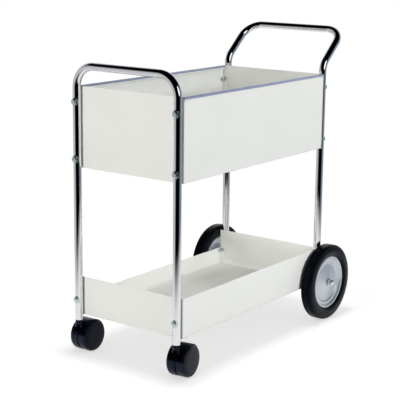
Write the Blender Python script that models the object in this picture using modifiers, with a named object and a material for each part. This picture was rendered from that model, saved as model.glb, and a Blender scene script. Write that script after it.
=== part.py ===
"""Two-basket mail cart on a chrome tube frame, with 260 mm rear wheels and twin-wheel casters.

Run with  blender --background --python part.py  or from Blender's text editor.
Metres, +Z up. X is the width, +Y points from the caster end to the handle end.
The floor is z = 0 and the origin is the middle of the cart's footprint.
"""

import math

import bmesh
import bpy
from mathutils import Euler, Matrix, Vector

# Fits
FIT = 0.0003            # air between two touching pieces
OVERRUN = 0.010         # how far every cutter runs past what it cuts
MERGE_DISTANCE = 0.00003

# Tube frames
TUBE_DIAMETER = 0.025
TUBE_WALL = 0.0015
LEG_SPACING = 0.387     # between the axes of a frame's two legs
WHEELBASE = 0.791       # between the front and the rear legs
FRONT_BAR_HEIGHT = 0.910
FRONT_CORNER_RADIUS = 0.067
LEG_ABOVE_CASTER = 0.0094       # front legs end this far above the caster wheels' tops
LEG_BELOW_AXLE = 0.020          # rear legs end this far below the axle
ARM_ABOVE_BASKET = 0.029        # rear legs turn into arms this far above the upper basket
ARM_LENGTH = 0.1655
ARM_LEAN = math.radians(49)     # from upright, towards the person pushing
ARM_BEND_RADIUS = 0.053
HANDLE_CORNER_RADIUS = 0.061

# Sheet metal baskets
SHEET = 0.0012
BASKET_BELOW_BAR = 0.064        # upper basket's top edge under the front bar's axis
UPPER_DEPTH = 0.251
LOWER_BOTTOM_HEIGHT = 0.124
LOWER_DEPTH = 0.124
LOW_SIDE_DEPTH = 0.0585         # the lower basket's left side is cut down
PANEL_CORNER_RADIUS = 0.014
FOLD_RADIUS = 0.004             # outside of a sheet fold
FLANGE_PAST_SCREW = 0.0075      # tray edges folded inside the end panels run this far past the screws

# Hanging rails on the upper basket's sides
RAIL_WIDTH = 0.012
RAIL_HEIGHT = 0.012
RAIL_SHEET = 0.0012
RAIL_EDGE_RADIUS = 0.004

# Screws and cap nuts
SCREW_DIAMETER = 0.008
HEAD_DIAMETER = 0.020
HEAD_HEIGHT = 0.004
SLOT_WIDTH = 0.0018
SLOT_DEPTH = 0.0018
NUT_ACROSS_FLATS = 0.013
NUT_HEIGHT = 0.0065
NUT_DOME_STEP = 0.0004          # dome's foot inside the nut's flats
NUT_CAVITY_IN_DOME = 0.0030
SCREW_BELOW_TOP = 0.046         # upper screws of the upper basket
SCREW_ABOVE_BOTTOM = 0.0285     # lower screws of the upper basket
LOWER_SCREW_ABOVE_BOTTOM = 0.0515

# Rear wheels, measured from the wheel's middle plane, outwards positive
WHEEL_DIAMETER = 0.260
TYRE_CLEARANCE = 0.0027         # between tyre and basket side
AXLE_DIAMETER = 0.0127
AXLE_IN_CAP = 0.0085
TYRE_HALF_WIDTH = 0.0217
TYRE_THICKNESS = 0.0414
TREAD_HALF_WIDTH = 0.0150
GROOVE_OFFSET = 0.0062
GROOVE_WIDTH = 0.0026
GROOVE_DEPTH = 0.0018
DISC_SHEET = 0.0015
DISC_JOINT_OFFSET = 0.0025      # plane where the two discs meet
RIM_OVER_TYRE = 0.0042          # rim's edge stands this far over the tyre's bore
RIM_ROLL = 0.0022               # from the rim's edge in to its crest
RIM_CREST_HEIGHT = 0.0156
DISH_INSET = 0.0146             # from the tyre's bore in to the edge of the flat disc
DISH_FLAT_WIDTH = 0.0135        # flat ring between the dish's edge and the cone up to the hub
HUB_DIAMETER = 0.0225
HUB_PROUD = 0.0025              # hub's end over the cone
CONE_HEIGHT = 0.0160
WASHER_THICKNESS = 0.0016
WASHER_DIAMETER = 0.024
CAP_DIAMETER = 0.0225
CAP_HEIGHT = 0.0150
CAP_FLANGE_DIAMETER = 0.029
CAP_FLANGE_THICKNESS = 0.0016

# Twin-wheel casters
CASTER_WHEEL_DIAMETER = 0.1006
CASTER_WIDTH = 0.0665
CASTER_TRAIL = 0.0396
CASTER_WEB = 0.003
CASTER_POCKET_GAP = 0.0012
HOOD_INSET = 0.00745            # hood's side inside the wheel's face
HOOD_SHELL = 0.0025
HOOD_SKIRT_RISE = 0.0117        # skirt's lower edge above the caster's axle
HOOD_WEB_DROP = 0.014           # web's lower edge below the caster's axle
HOOD_BOSS_DIAMETER = 0.024
CASTER_AXLE_DIAMETER = 0.008
CASTER_SHOULDER = 0.0055
CASTER_FACE_DOME = 0.0012
CASTER_FACE_MARGIN = 0.006
STEM_DIAMETER = 0.011
STEM_COLLAR_DIAMETER = 0.017
STEM_COLLAR = 0.0014
STEM_IN_HOOD = 0.013
STEM_IN_LEG = 0.034
SOCKET_FLANGE = 0.002
SOCKET_LENGTH = 0.038
RIGHT_CASTER_TURN = math.radians(7)
LEFT_CASTER_TURN = math.radians(1)

# Facets
TUBE_RESOLUTION = 6
BEND_POINTS = 6
WHEEL_STEPS = 32
CASTER_STEPS = 28
HUB_STEPS = 20
SMALL_STEPS = 12
FOLD_STEPS = 3
HEAD_STEPS = 3
CAP_STEPS = 4
SHOULDER_STEPS = 3
SHARP_ANGLE = math.radians(35)

# Places that follow from the sizes above
TUBE_RADIUS = TUBE_DIAMETER / 2
LEG_X = LEG_SPACING / 2
CENTRE_SHARE = 0.5
FACING_SHARE = 0.5              # a face looks along an axis from this share of its normal on
ROUND_PROFILE_SHARE = 0.5
BASKET_WIDTH = LEG_SPACING + TUBE_DIAMETER
LEG_BOTTOM_HEIGHT = CASTER_WHEEL_DIAMETER + LEG_ABOVE_CASTER
END_FLANGE = TUBE_RADIUS + FLANGE_PAST_SCREW
HEAD_REACH = TUBE_RADIUS + FIT + HEAD_HEIGHT
HANDLE_REACH = WHEELBASE + ARM_LENGTH * math.sin(ARM_LEAN) + TUBE_RADIUS
FRONT_Y = HEAD_REACH - (HEAD_REACH + HANDLE_REACH) * CENTRE_SHARE
REAR_Y = FRONT_Y + WHEELBASE
BASKET_LENGTH = WHEELBASE - TUBE_DIAMETER - 2 * FIT
BASKET_Y = (FRONT_Y + REAR_Y) * CENTRE_SHARE
TRAY_LENGTH = BASKET_LENGTH - 2 * (SHEET + FIT)
UPPER_TOP_HEIGHT = FRONT_BAR_HEIGHT - BASKET_BELOW_BAR
UPPER_BOTTOM_HEIGHT = UPPER_TOP_HEIGHT - UPPER_DEPTH
ARM_START_HEIGHT = UPPER_TOP_HEIGHT + ARM_ABOVE_BASKET
WALL_TOP_DROP = RAIL_SHEET + FIT
LIP_FOLD_RADIUS = RAIL_EDGE_RADIUS - RAIL_SHEET - FIT
LIP_REACH = RAIL_WIDTH - RAIL_SHEET - FIT - RAIL_EDGE_RADIUS
SCREW_HEIGHTS = (
    UPPER_TOP_HEIGHT - SCREW_BELOW_TOP,
    UPPER_BOTTOM_HEIGHT + SCREW_ABOVE_BOTTOM,
    LOWER_BOTTOM_HEIGHT + LOWER_SCREW_ABOVE_BOTTOM,
)
AXLE_HEIGHT = WHEEL_DIAMETER / 2
WHEEL_OFFSET = LEG_X + TUBE_RADIUS + TYRE_CLEARANCE + TYRE_HALF_WIDTH
HUB_OUTER_END = CONE_HEIGHT + HUB_PROUD
AXLE_HALF_LENGTH = WHEEL_OFFSET + HUB_OUTER_END + AXLE_IN_CAP
TYRE_BORE_RADIUS = WHEEL_DIAMETER / 2 - TYRE_THICKNESS
RIM_EDGE_RADIUS = TYRE_BORE_RADIUS + RIM_OVER_TYRE
RIM_CREST_RADIUS = RIM_EDGE_RADIUS - RIM_ROLL
DISH_RADIUS = TYRE_BORE_RADIUS - DISH_INSET
CONE_RADIUS = DISH_RADIUS - DISH_FLAT_WIDTH
CASTER_RADIUS = CASTER_WHEEL_DIAMETER / 2
HOOD_WIDTH = CASTER_WIDTH - 2 * HOOD_INSET

# Shapes and turns, as shares of the sizes that they follow
TYRE_WALL_SHARES = ((0.25, 0.94), (0.50, 1.00), (0.78, 0.92))   # of its height and its half width
TREAD_EDGE_SHARE = 0.95         # of the tyre wall's height
RIM_HEM_SHARE = 0.6             # of the disc's sheet
RIM_TURN_SHARE = 0.25           # of the disc's sheet
CAP_WALL_SHARE = 0.33           # straight part of the axle cap's height
FACE_MIDDLE_SHARE = 0.5         # of the caster wheel's radius
FACE_FALL_SHARE = 0.25          # of the caster face's dome
SLOT_TURN_SHARES = (0.04, -0.06, 0.11, -0.03, 0.08, -0.10, 0.02, 0.06, -0.05, 0.09, -0.08, 0.03)

# Colours and surface values read from the photograph: (sRGB hex, roughness, metallic)
CHROME = ("C9CDD2", 0.08, 1.0)
PAINT = ("DFE0DA", 0.45, 0.0)
SATIN_METAL = ("9AA3AE", 0.30, 1.0)
ZINC = ("C3CCD0", 0.25, 1.0)
RUBBER = ("15171C", 0.65, 0.0)
DISC_METAL = ("B4BAC0", 0.30, 1.0)
BLACK_PLASTIC = ("1C1F26", 0.35, 0.0)


def linear(channel):
    """One sRGB channel, 0 to 1, as a linear value."""
    return channel / 12.92 if channel <= 0.04045 else ((channel + 0.055) / 1.055) ** 2.4


def collection(name):
    """A collection of this name in the scene."""
    found = bpy.data.collections.get(name) or bpy.data.collections.new(name)
    if name not in bpy.context.scene.collection.children:
        bpy.context.scene.collection.children.link(found)
    return found


def dress(thing, finish):
    """Gives an object a material of its own."""
    colour, roughness, metallic = finish
    material = bpy.data.materials.new(thing.name + "_finish")
    material.use_nodes = True
    shader = material.node_tree.nodes["Principled BSDF"]
    channels = [linear(int(colour[i:i + 2], 16) / 255) for i in (0, 2, 4)]
    shader.inputs["Base Color"].default_value = (*channels, 1)
    shader.inputs["Roughness"].default_value = roughness
    shader.inputs["Metallic"].default_value = metallic
    material.diffuse_color = (*channels, 1)
    thing.data.materials.clear()
    thing.data.materials.append(material)


def add_piece(name, mesh, finish):
    """A sub-part of the cart, in the cart's collection."""
    piece = bpy.data.objects.new(name, mesh)
    collection("Mail cart").objects.link(piece)
    dress(piece, finish)
    return piece


def mesh_from(name, bm):
    """Turns an edited bmesh into a mesh."""
    mesh = bpy.data.meshes.new(name)
    bm.to_mesh(mesh)
    bm.free()
    return mesh


def box_mesh(name, size, centre=(0, 0, 0)):
    """A box of this size about this centre."""
    bm = bmesh.new()
    bmesh.ops.create_cube(bm, size=1)
    bmesh.ops.scale(bm, vec=size, verts=bm.verts)
    bmesh.ops.translate(bm, vec=centre, verts=bm.verts)
    return mesh_from(name, bm)


def rod_mesh(name, radius, length, steps, axis="Z"):
    """A cylinder about its middle, along one axis."""
    bm = bmesh.new()
    bmesh.ops.create_cone(bm, cap_ends=True, segments=steps, radius1=radius, radius2=radius, depth=length)
    turns = {"X": Euler((0, math.pi / 2, 0)), "Y": Euler((math.pi / 2, 0, 0)), "Z": Euler((0, 0, 0))}
    bmesh.ops.rotate(bm, cent=(0, 0, 0), matrix=turns[axis].to_matrix(), verts=bm.verts)
    return mesh_from(name, bm)


def quarter_turn(steps):
    """Angles from none to a quarter turn."""
    return [math.pi / 2 * step / steps for step in range(steps + 1)]


def cutter(name, mesh, place=(0, 0, 0), parent=None):
    """A hidden solid that only cuts or joins."""
    tool = bpy.data.objects.new(name, mesh)
    collection("Cutters").objects.link(tool)
    tool.location = place
    tool.parent = parent
    tool.hide_render = True
    tool.display_type = "WIRE"
    return tool


def combine(piece, tool, operation="DIFFERENCE"):
    """Cuts a tool out of a piece, or joins it on."""
    step = piece.modifiers.new(operation.title() + " " + tool.name, "BOOLEAN")
    step.operation = operation
    step.solver = "EXACT"
    step.object = tool


def turned(name, outline, steps, finish, closed=False):
    """A turned piece about its local Z.

    The outline holds (radius, height) pairs and runs down the outer side.
    """
    bm = bmesh.new()
    points = [bm.verts.new((radius, 0, height)) for radius, height in outline]
    for first, second in zip(points, points[1:]):
        bm.edges.new((first, second))
    if closed:
        bm.edges.new((points[-1], points[0]))
    piece = add_piece(name, mesh_from(name, bm), finish)
    spin = piece.modifiers.new("Turn", "SCREW")
    spin.axis = "Z"
    spin.steps = steps
    spin.render_steps = steps
    spin.use_merge_vertices = True
    spin.merge_threshold = MERGE_DISTANCE
    spin.use_smooth_shade = False
    return piece


def rounded_path(corners, radii):
    """Points along straight runs whose inner corners are rounded to the given radii."""
    path = [corners[0]]
    for before, corner, after, radius in zip(corners, corners[1:], corners[2:], radii):
        into = (corner - before).normalized()
        out = (after - corner).normalized()
        bend = into.angle(out)
        setback = radius * math.tan(bend / 2)
        start = corner - into * setback
        side = (out - into * into.dot(out)).normalized()
        for index in range(BEND_POINTS + 1):
            turn = bend * index / BEND_POINTS
            path.append(start + into * radius * math.sin(turn) + side * radius * (1 - math.cos(turn)))
    path.append(corners[-1])
    return path


def tube(name, path):
    """A hollow round tube along a path, with open ends."""
    curve = bpy.data.curves.new(name, "CURVE")
    curve.dimensions = "3D"
    curve.bevel_depth = TUBE_RADIUS
    curve.bevel_resolution = TUBE_RESOLUTION
    line = curve.splines.new("POLY")
    line.points.add(len(path) - 1)
    for point, place in zip(line.points, path):
        point.co = (*place, 1)
    guide = bpy.data.objects.new(name + "_centre_line", curve)
    collection("Cutters").objects.link(guide)
    bpy.context.view_layer.update()
    skin = bpy.data.meshes.new_from_object(guide.evaluated_get(bpy.context.evaluated_depsgraph_get()))
    bpy.data.objects.remove(guide)
    skin.materials.clear()
    skin.name = name
    piece = add_piece(name, skin, CHROME)
    wall = piece.modifiers.new("Wall", "SOLIDIFY")
    wall.thickness = TUBE_WALL
    wall.offset = -1
    wall.use_even_offset = True
    wall.use_rim = True
    return piece


def drill_screw_holes(piece, heights, length, y):
    """Cuts holes along Y for the screws, at the legs' places, all in one step."""
    name = piece.name + "_screw_holes"
    radius = SCREW_DIAMETER / 2 + FIT
    lying = Matrix.Rotation(math.pi / 2, 4, "X")
    bm = bmesh.new()
    for side in (-1, 1):
        for height in heights:
            place = Matrix.Translation((side * LEG_X, y, height))
            bmesh.ops.create_cone(bm, cap_ends=True, segments=SMALL_STEPS, radius1=radius, radius2=radius,
                                  depth=length, matrix=place @ lying)
    combine(piece, cutter(name, mesh_from(name, bm)))


def add_front_frame():
    """The plain hoop at the caster end."""
    low = LEG_BOTTOM_HEIGHT
    corners = [Vector((-LEG_X, FRONT_Y, low)), Vector((-LEG_X, FRONT_Y, FRONT_BAR_HEIGHT)),
               Vector((LEG_X, FRONT_Y, FRONT_BAR_HEIGHT)), Vector((LEG_X, FRONT_Y, low))]
    frame = tube("front_frame", rounded_path(corners, [FRONT_CORNER_RADIUS] * 2))
    drill_screw_holes(frame, SCREW_HEIGHTS, TUBE_DIAMETER + OVERRUN, FRONT_Y)


def add_rear_frame():
    """The hoop at the handle end: its legs carry the axle, its arms lean back to the handle."""
    bar_y = REAR_Y + ARM_LENGTH * math.sin(ARM_LEAN)
    bar_height = ARM_START_HEIGHT + ARM_LENGTH * math.cos(ARM_LEAN)
    low = AXLE_HEIGHT - LEG_BELOW_AXLE
    left = [Vector((-LEG_X, REAR_Y, low)), Vector((-LEG_X, REAR_Y, ARM_START_HEIGHT)),
            Vector((-LEG_X, bar_y, bar_height))]
    right = [Vector((-place.x, place.y, place.z)) for place in reversed(left)]
    radii = [ARM_BEND_RADIUS, HANDLE_CORNER_RADIUS, HANDLE_CORNER_RADIUS, ARM_BEND_RADIUS]
    frame = tube("rear_frame", rounded_path(left + right, radii))
    drill_screw_holes(frame, SCREW_HEIGHTS, TUBE_DIAMETER + OVERRUN, REAR_Y)
    for side in (-1, 1):
        name = f"rear_frame_axle_hole_{'left' if side < 0 else 'right'}"
        bore = rod_mesh(name, AXLE_DIAMETER / 2 + FIT, TUBE_DIAMETER + OVERRUN, SMALL_STEPS, "X")
        combine(frame, cutter(name, bore, (side * LEG_X, REAR_Y, AXLE_HEIGHT)))


def edges_where(bm, test):
    """Edges whose two ends both pass a test."""
    return [edge for edge in bm.edges if all(test(vert.co) for vert in edge.verts)]


def add_end_panel(name, y, bottom, depth, screw_heights, rounded):
    """A flat end panel of a basket, with its top corners rounded where wanted."""
    bm = bmesh.new()
    bmesh.ops.create_cube(bm, size=1)
    bmesh.ops.scale(bm, vec=(BASKET_WIDTH, SHEET, depth), verts=bm.verts)
    if rounded:
        corners = [edge for edge in bm.edges
                   if all(vert.co.z > 0 for vert in edge.verts)
                   and edge.verts[0].co.x * edge.verts[1].co.x > 0]
        bmesh.ops.bevel(bm, geom=corners, offset=PANEL_CORNER_RADIUS, segments=2 * FOLD_STEPS,
                        profile=ROUND_PROFILE_SHARE, affect="EDGES")
    panel = add_piece(name, mesh_from(name, bm), PAINT)
    panel.location = (0, y, bottom + depth / 2)
    drill_screw_holes(panel, screw_heights, SHEET + OVERRUN, y)


def tray_skin(depth, lip):
    """Outer skin of a folded tray standing on z = 0.

    Its top is open, its corners are folded and, where wanted, both sides end in a lip turned inward.
    """
    straight = depth - LIP_FOLD_RADIUS if lip else depth
    bm = bmesh.new()
    bmesh.ops.create_cube(bm, size=1)
    bmesh.ops.scale(bm, vec=(BASKET_WIDTH, TRAY_LENGTH, straight), verts=bm.verts)
    bmesh.ops.translate(bm, vec=(0, 0, straight / 2), verts=bm.verts)
    top = [face for face in bm.faces if face.normal.z > FACING_SHARE]
    bmesh.ops.delete(bm, geom=top, context="FACES")
    folds = [edge for edge in bm.edges if not edge.is_boundary]
    bmesh.ops.bevel(bm, geom=folds, offset=FOLD_RADIUS, segments=FOLD_STEPS, profile=ROUND_PROFILE_SHARE,
                    affect="EDGES")
    if lip:
        rim = edges_where(bm, lambda co: co.z > straight - FIT and abs(co.x) > BASKET_WIDTH / 2 - FIT)
        profile = [(LIP_FOLD_RADIUS * (1 - math.cos(turn)), LIP_FOLD_RADIUS * math.sin(turn))
                   for turn in quarter_turn(FOLD_STEPS)] + [(LIP_REACH, LIP_FOLD_RADIUS)]
        for before, after in zip(profile, profile[1:]):
            grown = bmesh.ops.extrude_edge_only(bm, edges=rim)["geom"]
            rim = [thing for thing in grown if isinstance(thing, bmesh.types.BMEdge)]
            for vert in (thing for thing in grown if isinstance(thing, bmesh.types.BMVert)):
                vert.co.x -= math.copysign(after[0] - before[0], vert.co.x)
                vert.co.z += after[1] - before[1]
    bmesh.ops.recalc_face_normals(bm, faces=bm.faces)
    return bm


def add_tray(name, bottom, depth, lip=False):
    """Floor and both sides folded from one sheet, with flanges inside the end panels."""
    tray = add_piece(name, mesh_from(name, tray_skin(depth, lip)), PAINT)
    tray.location = (0, BASKET_Y, bottom)
    wall = tray.modifiers.new("Sheet", "SOLIDIFY")
    wall.thickness = SHEET
    wall.offset = -1
    wall.use_even_offset = True
    window = box_mesh(name + "_window",
                      (BASKET_WIDTH - 2 * END_FLANGE, TRAY_LENGTH + OVERRUN, depth + OVERRUN))
    combine(tray, cutter(name + "_window", window,
                         (0, BASKET_Y, bottom + END_FLANGE + (depth + OVERRUN) / 2)))
    return tray


def cut_rail_reliefs(tray):
    """Lowers the tray's four top corners so that the rails run the whole length over the sides."""
    size = (BASKET_WIDTH + OVERRUN, FOLD_RADIUS + FIT + OVERRUN, RAIL_HEIGHT + FIT + OVERRUN)
    for end in (-1, 1):
        name = f"{tray.name}_relief_{'front' if end < 0 else 'rear'}"
        middle = TRAY_LENGTH / 2 - FOLD_RADIUS - FIT + size[1] / 2
        combine(tray, cutter(name, box_mesh(name, size),
                             (0, BASKET_Y + end * middle,
                              UPPER_TOP_HEIGHT - RAIL_HEIGHT - FIT + size[2] / 2)))


def add_upper_basket():
    """Deep basket with a hanging rail on both sides."""
    heights = SCREW_HEIGHTS[:2]
    panel_y = BASKET_LENGTH / 2 - SHEET / 2
    add_end_panel("upper_front_panel", BASKET_Y - panel_y, UPPER_BOTTOM_HEIGHT, UPPER_DEPTH, heights, True)
    add_end_panel("upper_rear_panel", BASKET_Y + panel_y, UPPER_BOTTOM_HEIGHT, UPPER_DEPTH, heights, True)
    tray = add_tray("upper_tray", UPPER_BOTTOM_HEIGHT, UPPER_DEPTH - WALL_TOP_DROP, lip=True)
    cut_rail_reliefs(tray)
    drill_screw_holes(tray, heights, TRAY_LENGTH + OVERRUN, BASKET_Y)
    add_rail("left_file_rail", -1)
    add_rail("right_file_rail", 1)


def add_lower_basket():
    """Shallow basket whose left side is cut down."""
    heights = SCREW_HEIGHTS[2:]
    panel_y = BASKET_LENGTH / 2 - SHEET / 2
    add_end_panel("lower_front_panel", BASKET_Y - panel_y, LOWER_BOTTOM_HEIGHT, LOWER_DEPTH, heights, False)
    add_end_panel("lower_rear_panel", BASKET_Y + panel_y, LOWER_BOTTOM_HEIGHT, LOWER_DEPTH, heights, False)
    tray = add_tray("lower_tray", LOWER_BOTTOM_HEIGHT, LOWER_DEPTH)
    drill_screw_holes(tray, heights, TRAY_LENGTH + OVERRUN, BASKET_Y)
    cut_depth = LOWER_DEPTH - LOW_SIDE_DEPTH + OVERRUN
    low_side = box_mesh("lower_tray_low_side", (END_FLANGE + OVERRUN, TRAY_LENGTH + OVERRUN, cut_depth))
    combine(tray, cutter("lower_tray_low_side", low_side,
                         ((END_FLANGE - BASKET_WIDTH) / 2, BASKET_Y,
                          LOWER_BOTTOM_HEIGHT + LOW_SIDE_DEPTH + cut_depth / 2)))


def add_rail(name, side):
    """An upturned channel that sits over the folded top edge of one side."""
    length = TRAY_LENGTH - 2 * FIT
    bm = bmesh.new()
    bmesh.ops.create_cube(bm, size=1)
    bmesh.ops.scale(bm, vec=(RAIL_WIDTH, length, RAIL_HEIGHT), verts=bm.verts)
    unwanted = [face for face in bm.faces
                if face.normal.z < -FACING_SHARE or abs(face.normal.y) > FACING_SHARE]
    bmesh.ops.delete(bm, geom=unwanted, context="FACES")
    folds = [edge for edge in bm.edges if not edge.is_boundary]
    bmesh.ops.bevel(bm, geom=folds, offset=RAIL_EDGE_RADIUS, segments=FOLD_STEPS,
                    profile=ROUND_PROFILE_SHARE, affect="EDGES")
    rail = add_piece(name, mesh_from(name, bm), SATIN_METAL)
    rail.location = (side * (BASKET_WIDTH / 2 + FIT + RAIL_SHEET - RAIL_WIDTH / 2), BASKET_Y,
                     UPPER_TOP_HEIGHT - RAIL_HEIGHT / 2)
    wall = rail.modifiers.new("Sheet", "SOLIDIFY")
    wall.thickness = RAIL_SHEET
    wall.offset = -1
    wall.use_even_offset = True


def add_fastener(name, x, y, height, facing, slot_turn):
    """A slotted screw through leg, end panel and flange, and its cap nut inside the basket.

    facing is the Y direction in which the head looks: -1 at the front, 1 at the rear.
    """
    grip = TUBE_DIAMETER + 2 * (FIT + SHEET) + FIT
    shank = grip + FIT + NUT_HEIGHT
    radius = HEAD_DIAMETER / 2
    arc = [(radius * math.sin(turn), HEAD_HEIGHT * math.cos(turn)) for turn in quarter_turn(HEAD_STEPS)]
    outline = arc + [(SCREW_DIAMETER / 2, 0), (SCREW_DIAMETER / 2, -shank), (0, -shank)]
    screw = turned("screw_" + name, outline, SMALL_STEPS, ZINC)
    screw.location = (x, y + facing * (TUBE_RADIUS + FIT), height)
    screw.rotation_euler = Euler((-facing * math.pi / 2, 0, 0))
    slot = box_mesh("screw_slot_" + name, (HEAD_DIAMETER + OVERRUN, SLOT_WIDTH, SLOT_DEPTH * 2))
    tool = cutter("screw_slot_" + name, slot, (0, 0, HEAD_HEIGHT), parent=screw)
    tool.rotation_euler = Euler((0, 0, slot_turn))
    combine(screw, tool)

    hexagon = bmesh.new()
    corner = NUT_ACROSS_FLATS / math.sqrt(3)
    bmesh.ops.create_cone(hexagon, cap_ends=True, segments=6, radius1=corner, radius2=corner,
                          depth=NUT_HEIGHT)
    bmesh.ops.translate(hexagon, vec=(0, 0, -NUT_HEIGHT / 2), verts=hexagon.verts)
    nut = add_piece("nut_" + name, mesh_from("nut_" + name, hexagon), ZINC)
    nut.location = (x, y + facing * (TUBE_RADIUS - grip), height)
    nut.rotation_euler = screw.rotation_euler
    dome_mesh = bmesh.new()
    bmesh.ops.create_uvsphere(dome_mesh, u_segments=SMALL_STEPS, v_segments=SMALL_STEPS // 2,
                              radius=NUT_ACROSS_FLATS / 2 - NUT_DOME_STEP)
    dome = cutter("nut_dome_" + name, mesh_from("nut_dome_" + name, dome_mesh),
                  (0, 0, -NUT_HEIGHT), parent=nut)
    combine(nut, dome, "UNION")
    bore = rod_mesh("nut_bore_" + name, SCREW_DIAMETER / 2 + FIT, 2 * (NUT_HEIGHT + NUT_CAVITY_IN_DOME),
                    SMALL_STEPS)
    combine(nut, cutter("nut_bore_" + name, bore, (0, 0, 0), parent=nut))


def add_fasteners():
    """Three screws on each of the four legs."""
    places = ("upper", "middle", "lower")
    turns = iter(SLOT_TURN_SHARES)
    for end, y, facing in (("front", FRONT_Y, -1), ("rear", REAR_Y, 1)):
        for side, x in (("left", -LEG_X), ("right", LEG_X)):
            for place, height in zip(places, SCREW_HEIGHTS):
                add_fastener(f"{end}_{side}_{place}", x, y, height, facing, math.pi * next(turns))


def tyre_outline():
    """Closed outline of the tyre: (radius, distance from the middle plane), down the tread first."""
    outer = WHEEL_DIAMETER / 2
    rim = RIM_EDGE_RADIUS + FIT
    seat = RIM_CREST_HEIGHT - 2 * DISC_SHEET
    drop = outer - rim
    top_half = [
        (TYRE_BORE_RADIUS, seat - DISC_SHEET),
        (rim, seat),
        (rim, RIM_CREST_HEIGHT - DISC_SHEET / 2),
        *((rim + drop * rise, TYRE_HALF_WIDTH * out) for rise, out in TYRE_WALL_SHARES),
        (rim + drop * TREAD_EDGE_SHARE, TREAD_HALF_WIDTH),
        (outer, GROOVE_OFFSET + GROOVE_WIDTH / 2),
        (outer - GROOVE_DEPTH, GROOVE_OFFSET),
        (outer, GROOVE_OFFSET - GROOVE_WIDTH / 2),
    ]
    return top_half + [(radius, -height) for radius, height in reversed(top_half)]


def disc_outline(flat_height):
    """Visible side of a pressed disc, from its rim edge in to its hub hole."""
    hem = DISC_SHEET * RIM_HEM_SHARE
    edge_height = RIM_CREST_HEIGHT - hem
    wall_top = RIM_CREST_RADIUS - RIM_ROLL
    turn_height = (RIM_CREST_HEIGHT + edge_height) / 2 - DISC_SHEET * RIM_TURN_SHARE
    hole = HUB_DIAMETER / 2 + FIT
    slope = flat_height + hem
    return [
        (RIM_EDGE_RADIUS, edge_height),
        (RIM_CREST_RADIUS, RIM_CREST_HEIGHT),
        (wall_top, turn_height),
        (DISH_RADIUS + DISC_SHEET, slope),
        (DISH_RADIUS - DISC_SHEET, flat_height),
        (CONE_RADIUS, flat_height),
        (hole + DISC_SHEET, CONE_HEIGHT - DISC_SHEET / 2),
        (hole, CONE_HEIGHT),
    ]


def add_disc(name, x, facing, flat_height):
    """One pressed half of a rear wheel's rim. facing is the X direction that it shows to."""
    disc = turned(name, disc_outline(flat_height), WHEEL_STEPS, DISC_METAL)
    disc.location = (x, REAR_Y, AXLE_HEIGHT)
    disc.rotation_euler = Euler((0, facing * math.pi / 2, 0))
    wall = disc.modifiers.new("Sheet", "SOLIDIFY")
    wall.thickness = DISC_SHEET
    wall.offset = -1
    wall.use_even_offset = True


def add_rear_wheel(label, side):
    """Tyre, two discs, hub, washer and axle cap of one rear wheel."""
    x = side * WHEEL_OFFSET
    outwards = Euler((0, side * math.pi / 2, 0))
    place = Vector((x, REAR_Y, AXLE_HEIGHT))

    tyre = turned(f"rear_tyre_{label}", tyre_outline(), WHEEL_STEPS, RUBBER, closed=True)
    tyre.location = place
    tyre.rotation_euler = outwards

    add_disc(f"wheel_outer_disc_{label}", x, side, DISC_JOINT_OFFSET + FIT / 2 + DISC_SHEET)
    add_disc(f"wheel_inner_disc_{label}", x, -side, -DISC_JOINT_OFFSET + FIT / 2 + DISC_SHEET)

    leg_face = LEG_X + TUBE_RADIUS
    inner_end = WHEEL_OFFSET - (leg_face + WASHER_THICKNESS + 2 * FIT)
    bore = AXLE_DIAMETER / 2 + FIT
    outer = HUB_DIAMETER / 2
    hub = turned(f"wheel_hub_{label}",
                 [(bore, HUB_OUTER_END), (outer, HUB_OUTER_END), (outer, -inner_end), (bore, -inner_end)],
                 HUB_STEPS, ZINC, closed=True)
    hub.location = place
    hub.rotation_euler = outwards

    washer = turned(f"axle_washer_{label}",
                    [(bore, WASHER_THICKNESS / 2), (WASHER_DIAMETER / 2, WASHER_THICKNESS / 2),
                     (WASHER_DIAMETER / 2, -WASHER_THICKNESS / 2), (bore, -WASHER_THICKNESS / 2)],
                    HUB_STEPS, ZINC, closed=True)
    washer.location = (side * (leg_face + FIT + WASHER_THICKNESS / 2), REAR_Y, AXLE_HEIGHT)
    washer.rotation_euler = outwards

    cap_start = HUB_OUTER_END + FIT
    axle_end = AXLE_HALF_LENGTH - WHEEL_OFFSET
    radius = CAP_DIAMETER / 2
    straight = CAP_HEIGHT * CAP_WALL_SHARE
    dome = [(radius * math.sin(turn), cap_start + straight + (CAP_HEIGHT - straight) * math.cos(turn))
            for turn in quarter_turn(CAP_STEPS)]
    flange = CAP_FLANGE_DIAMETER / 2
    flange_top = cap_start + CAP_FLANGE_THICKNESS
    foot = [(radius, flange_top), (flange, flange_top), (flange, cap_start)]
    cavity = [(bore, cap_start), (bore, axle_end + FIT), (0, axle_end + FIT)]
    cap = turned(f"axle_cap_{label}", dome + foot + cavity, HUB_STEPS, CHROME)
    cap.location = place
    cap.rotation_euler = outwards


def add_axle():
    """The rod through both rear legs that carries the wheels."""
    axle = add_piece("rear_axle", rod_mesh("rear_axle", AXLE_DIAMETER / 2, 2 * AXLE_HALF_LENGTH,
                                           HUB_STEPS, "X"), ZINC)
    axle.location = (0, REAR_Y, AXLE_HEIGHT)


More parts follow.
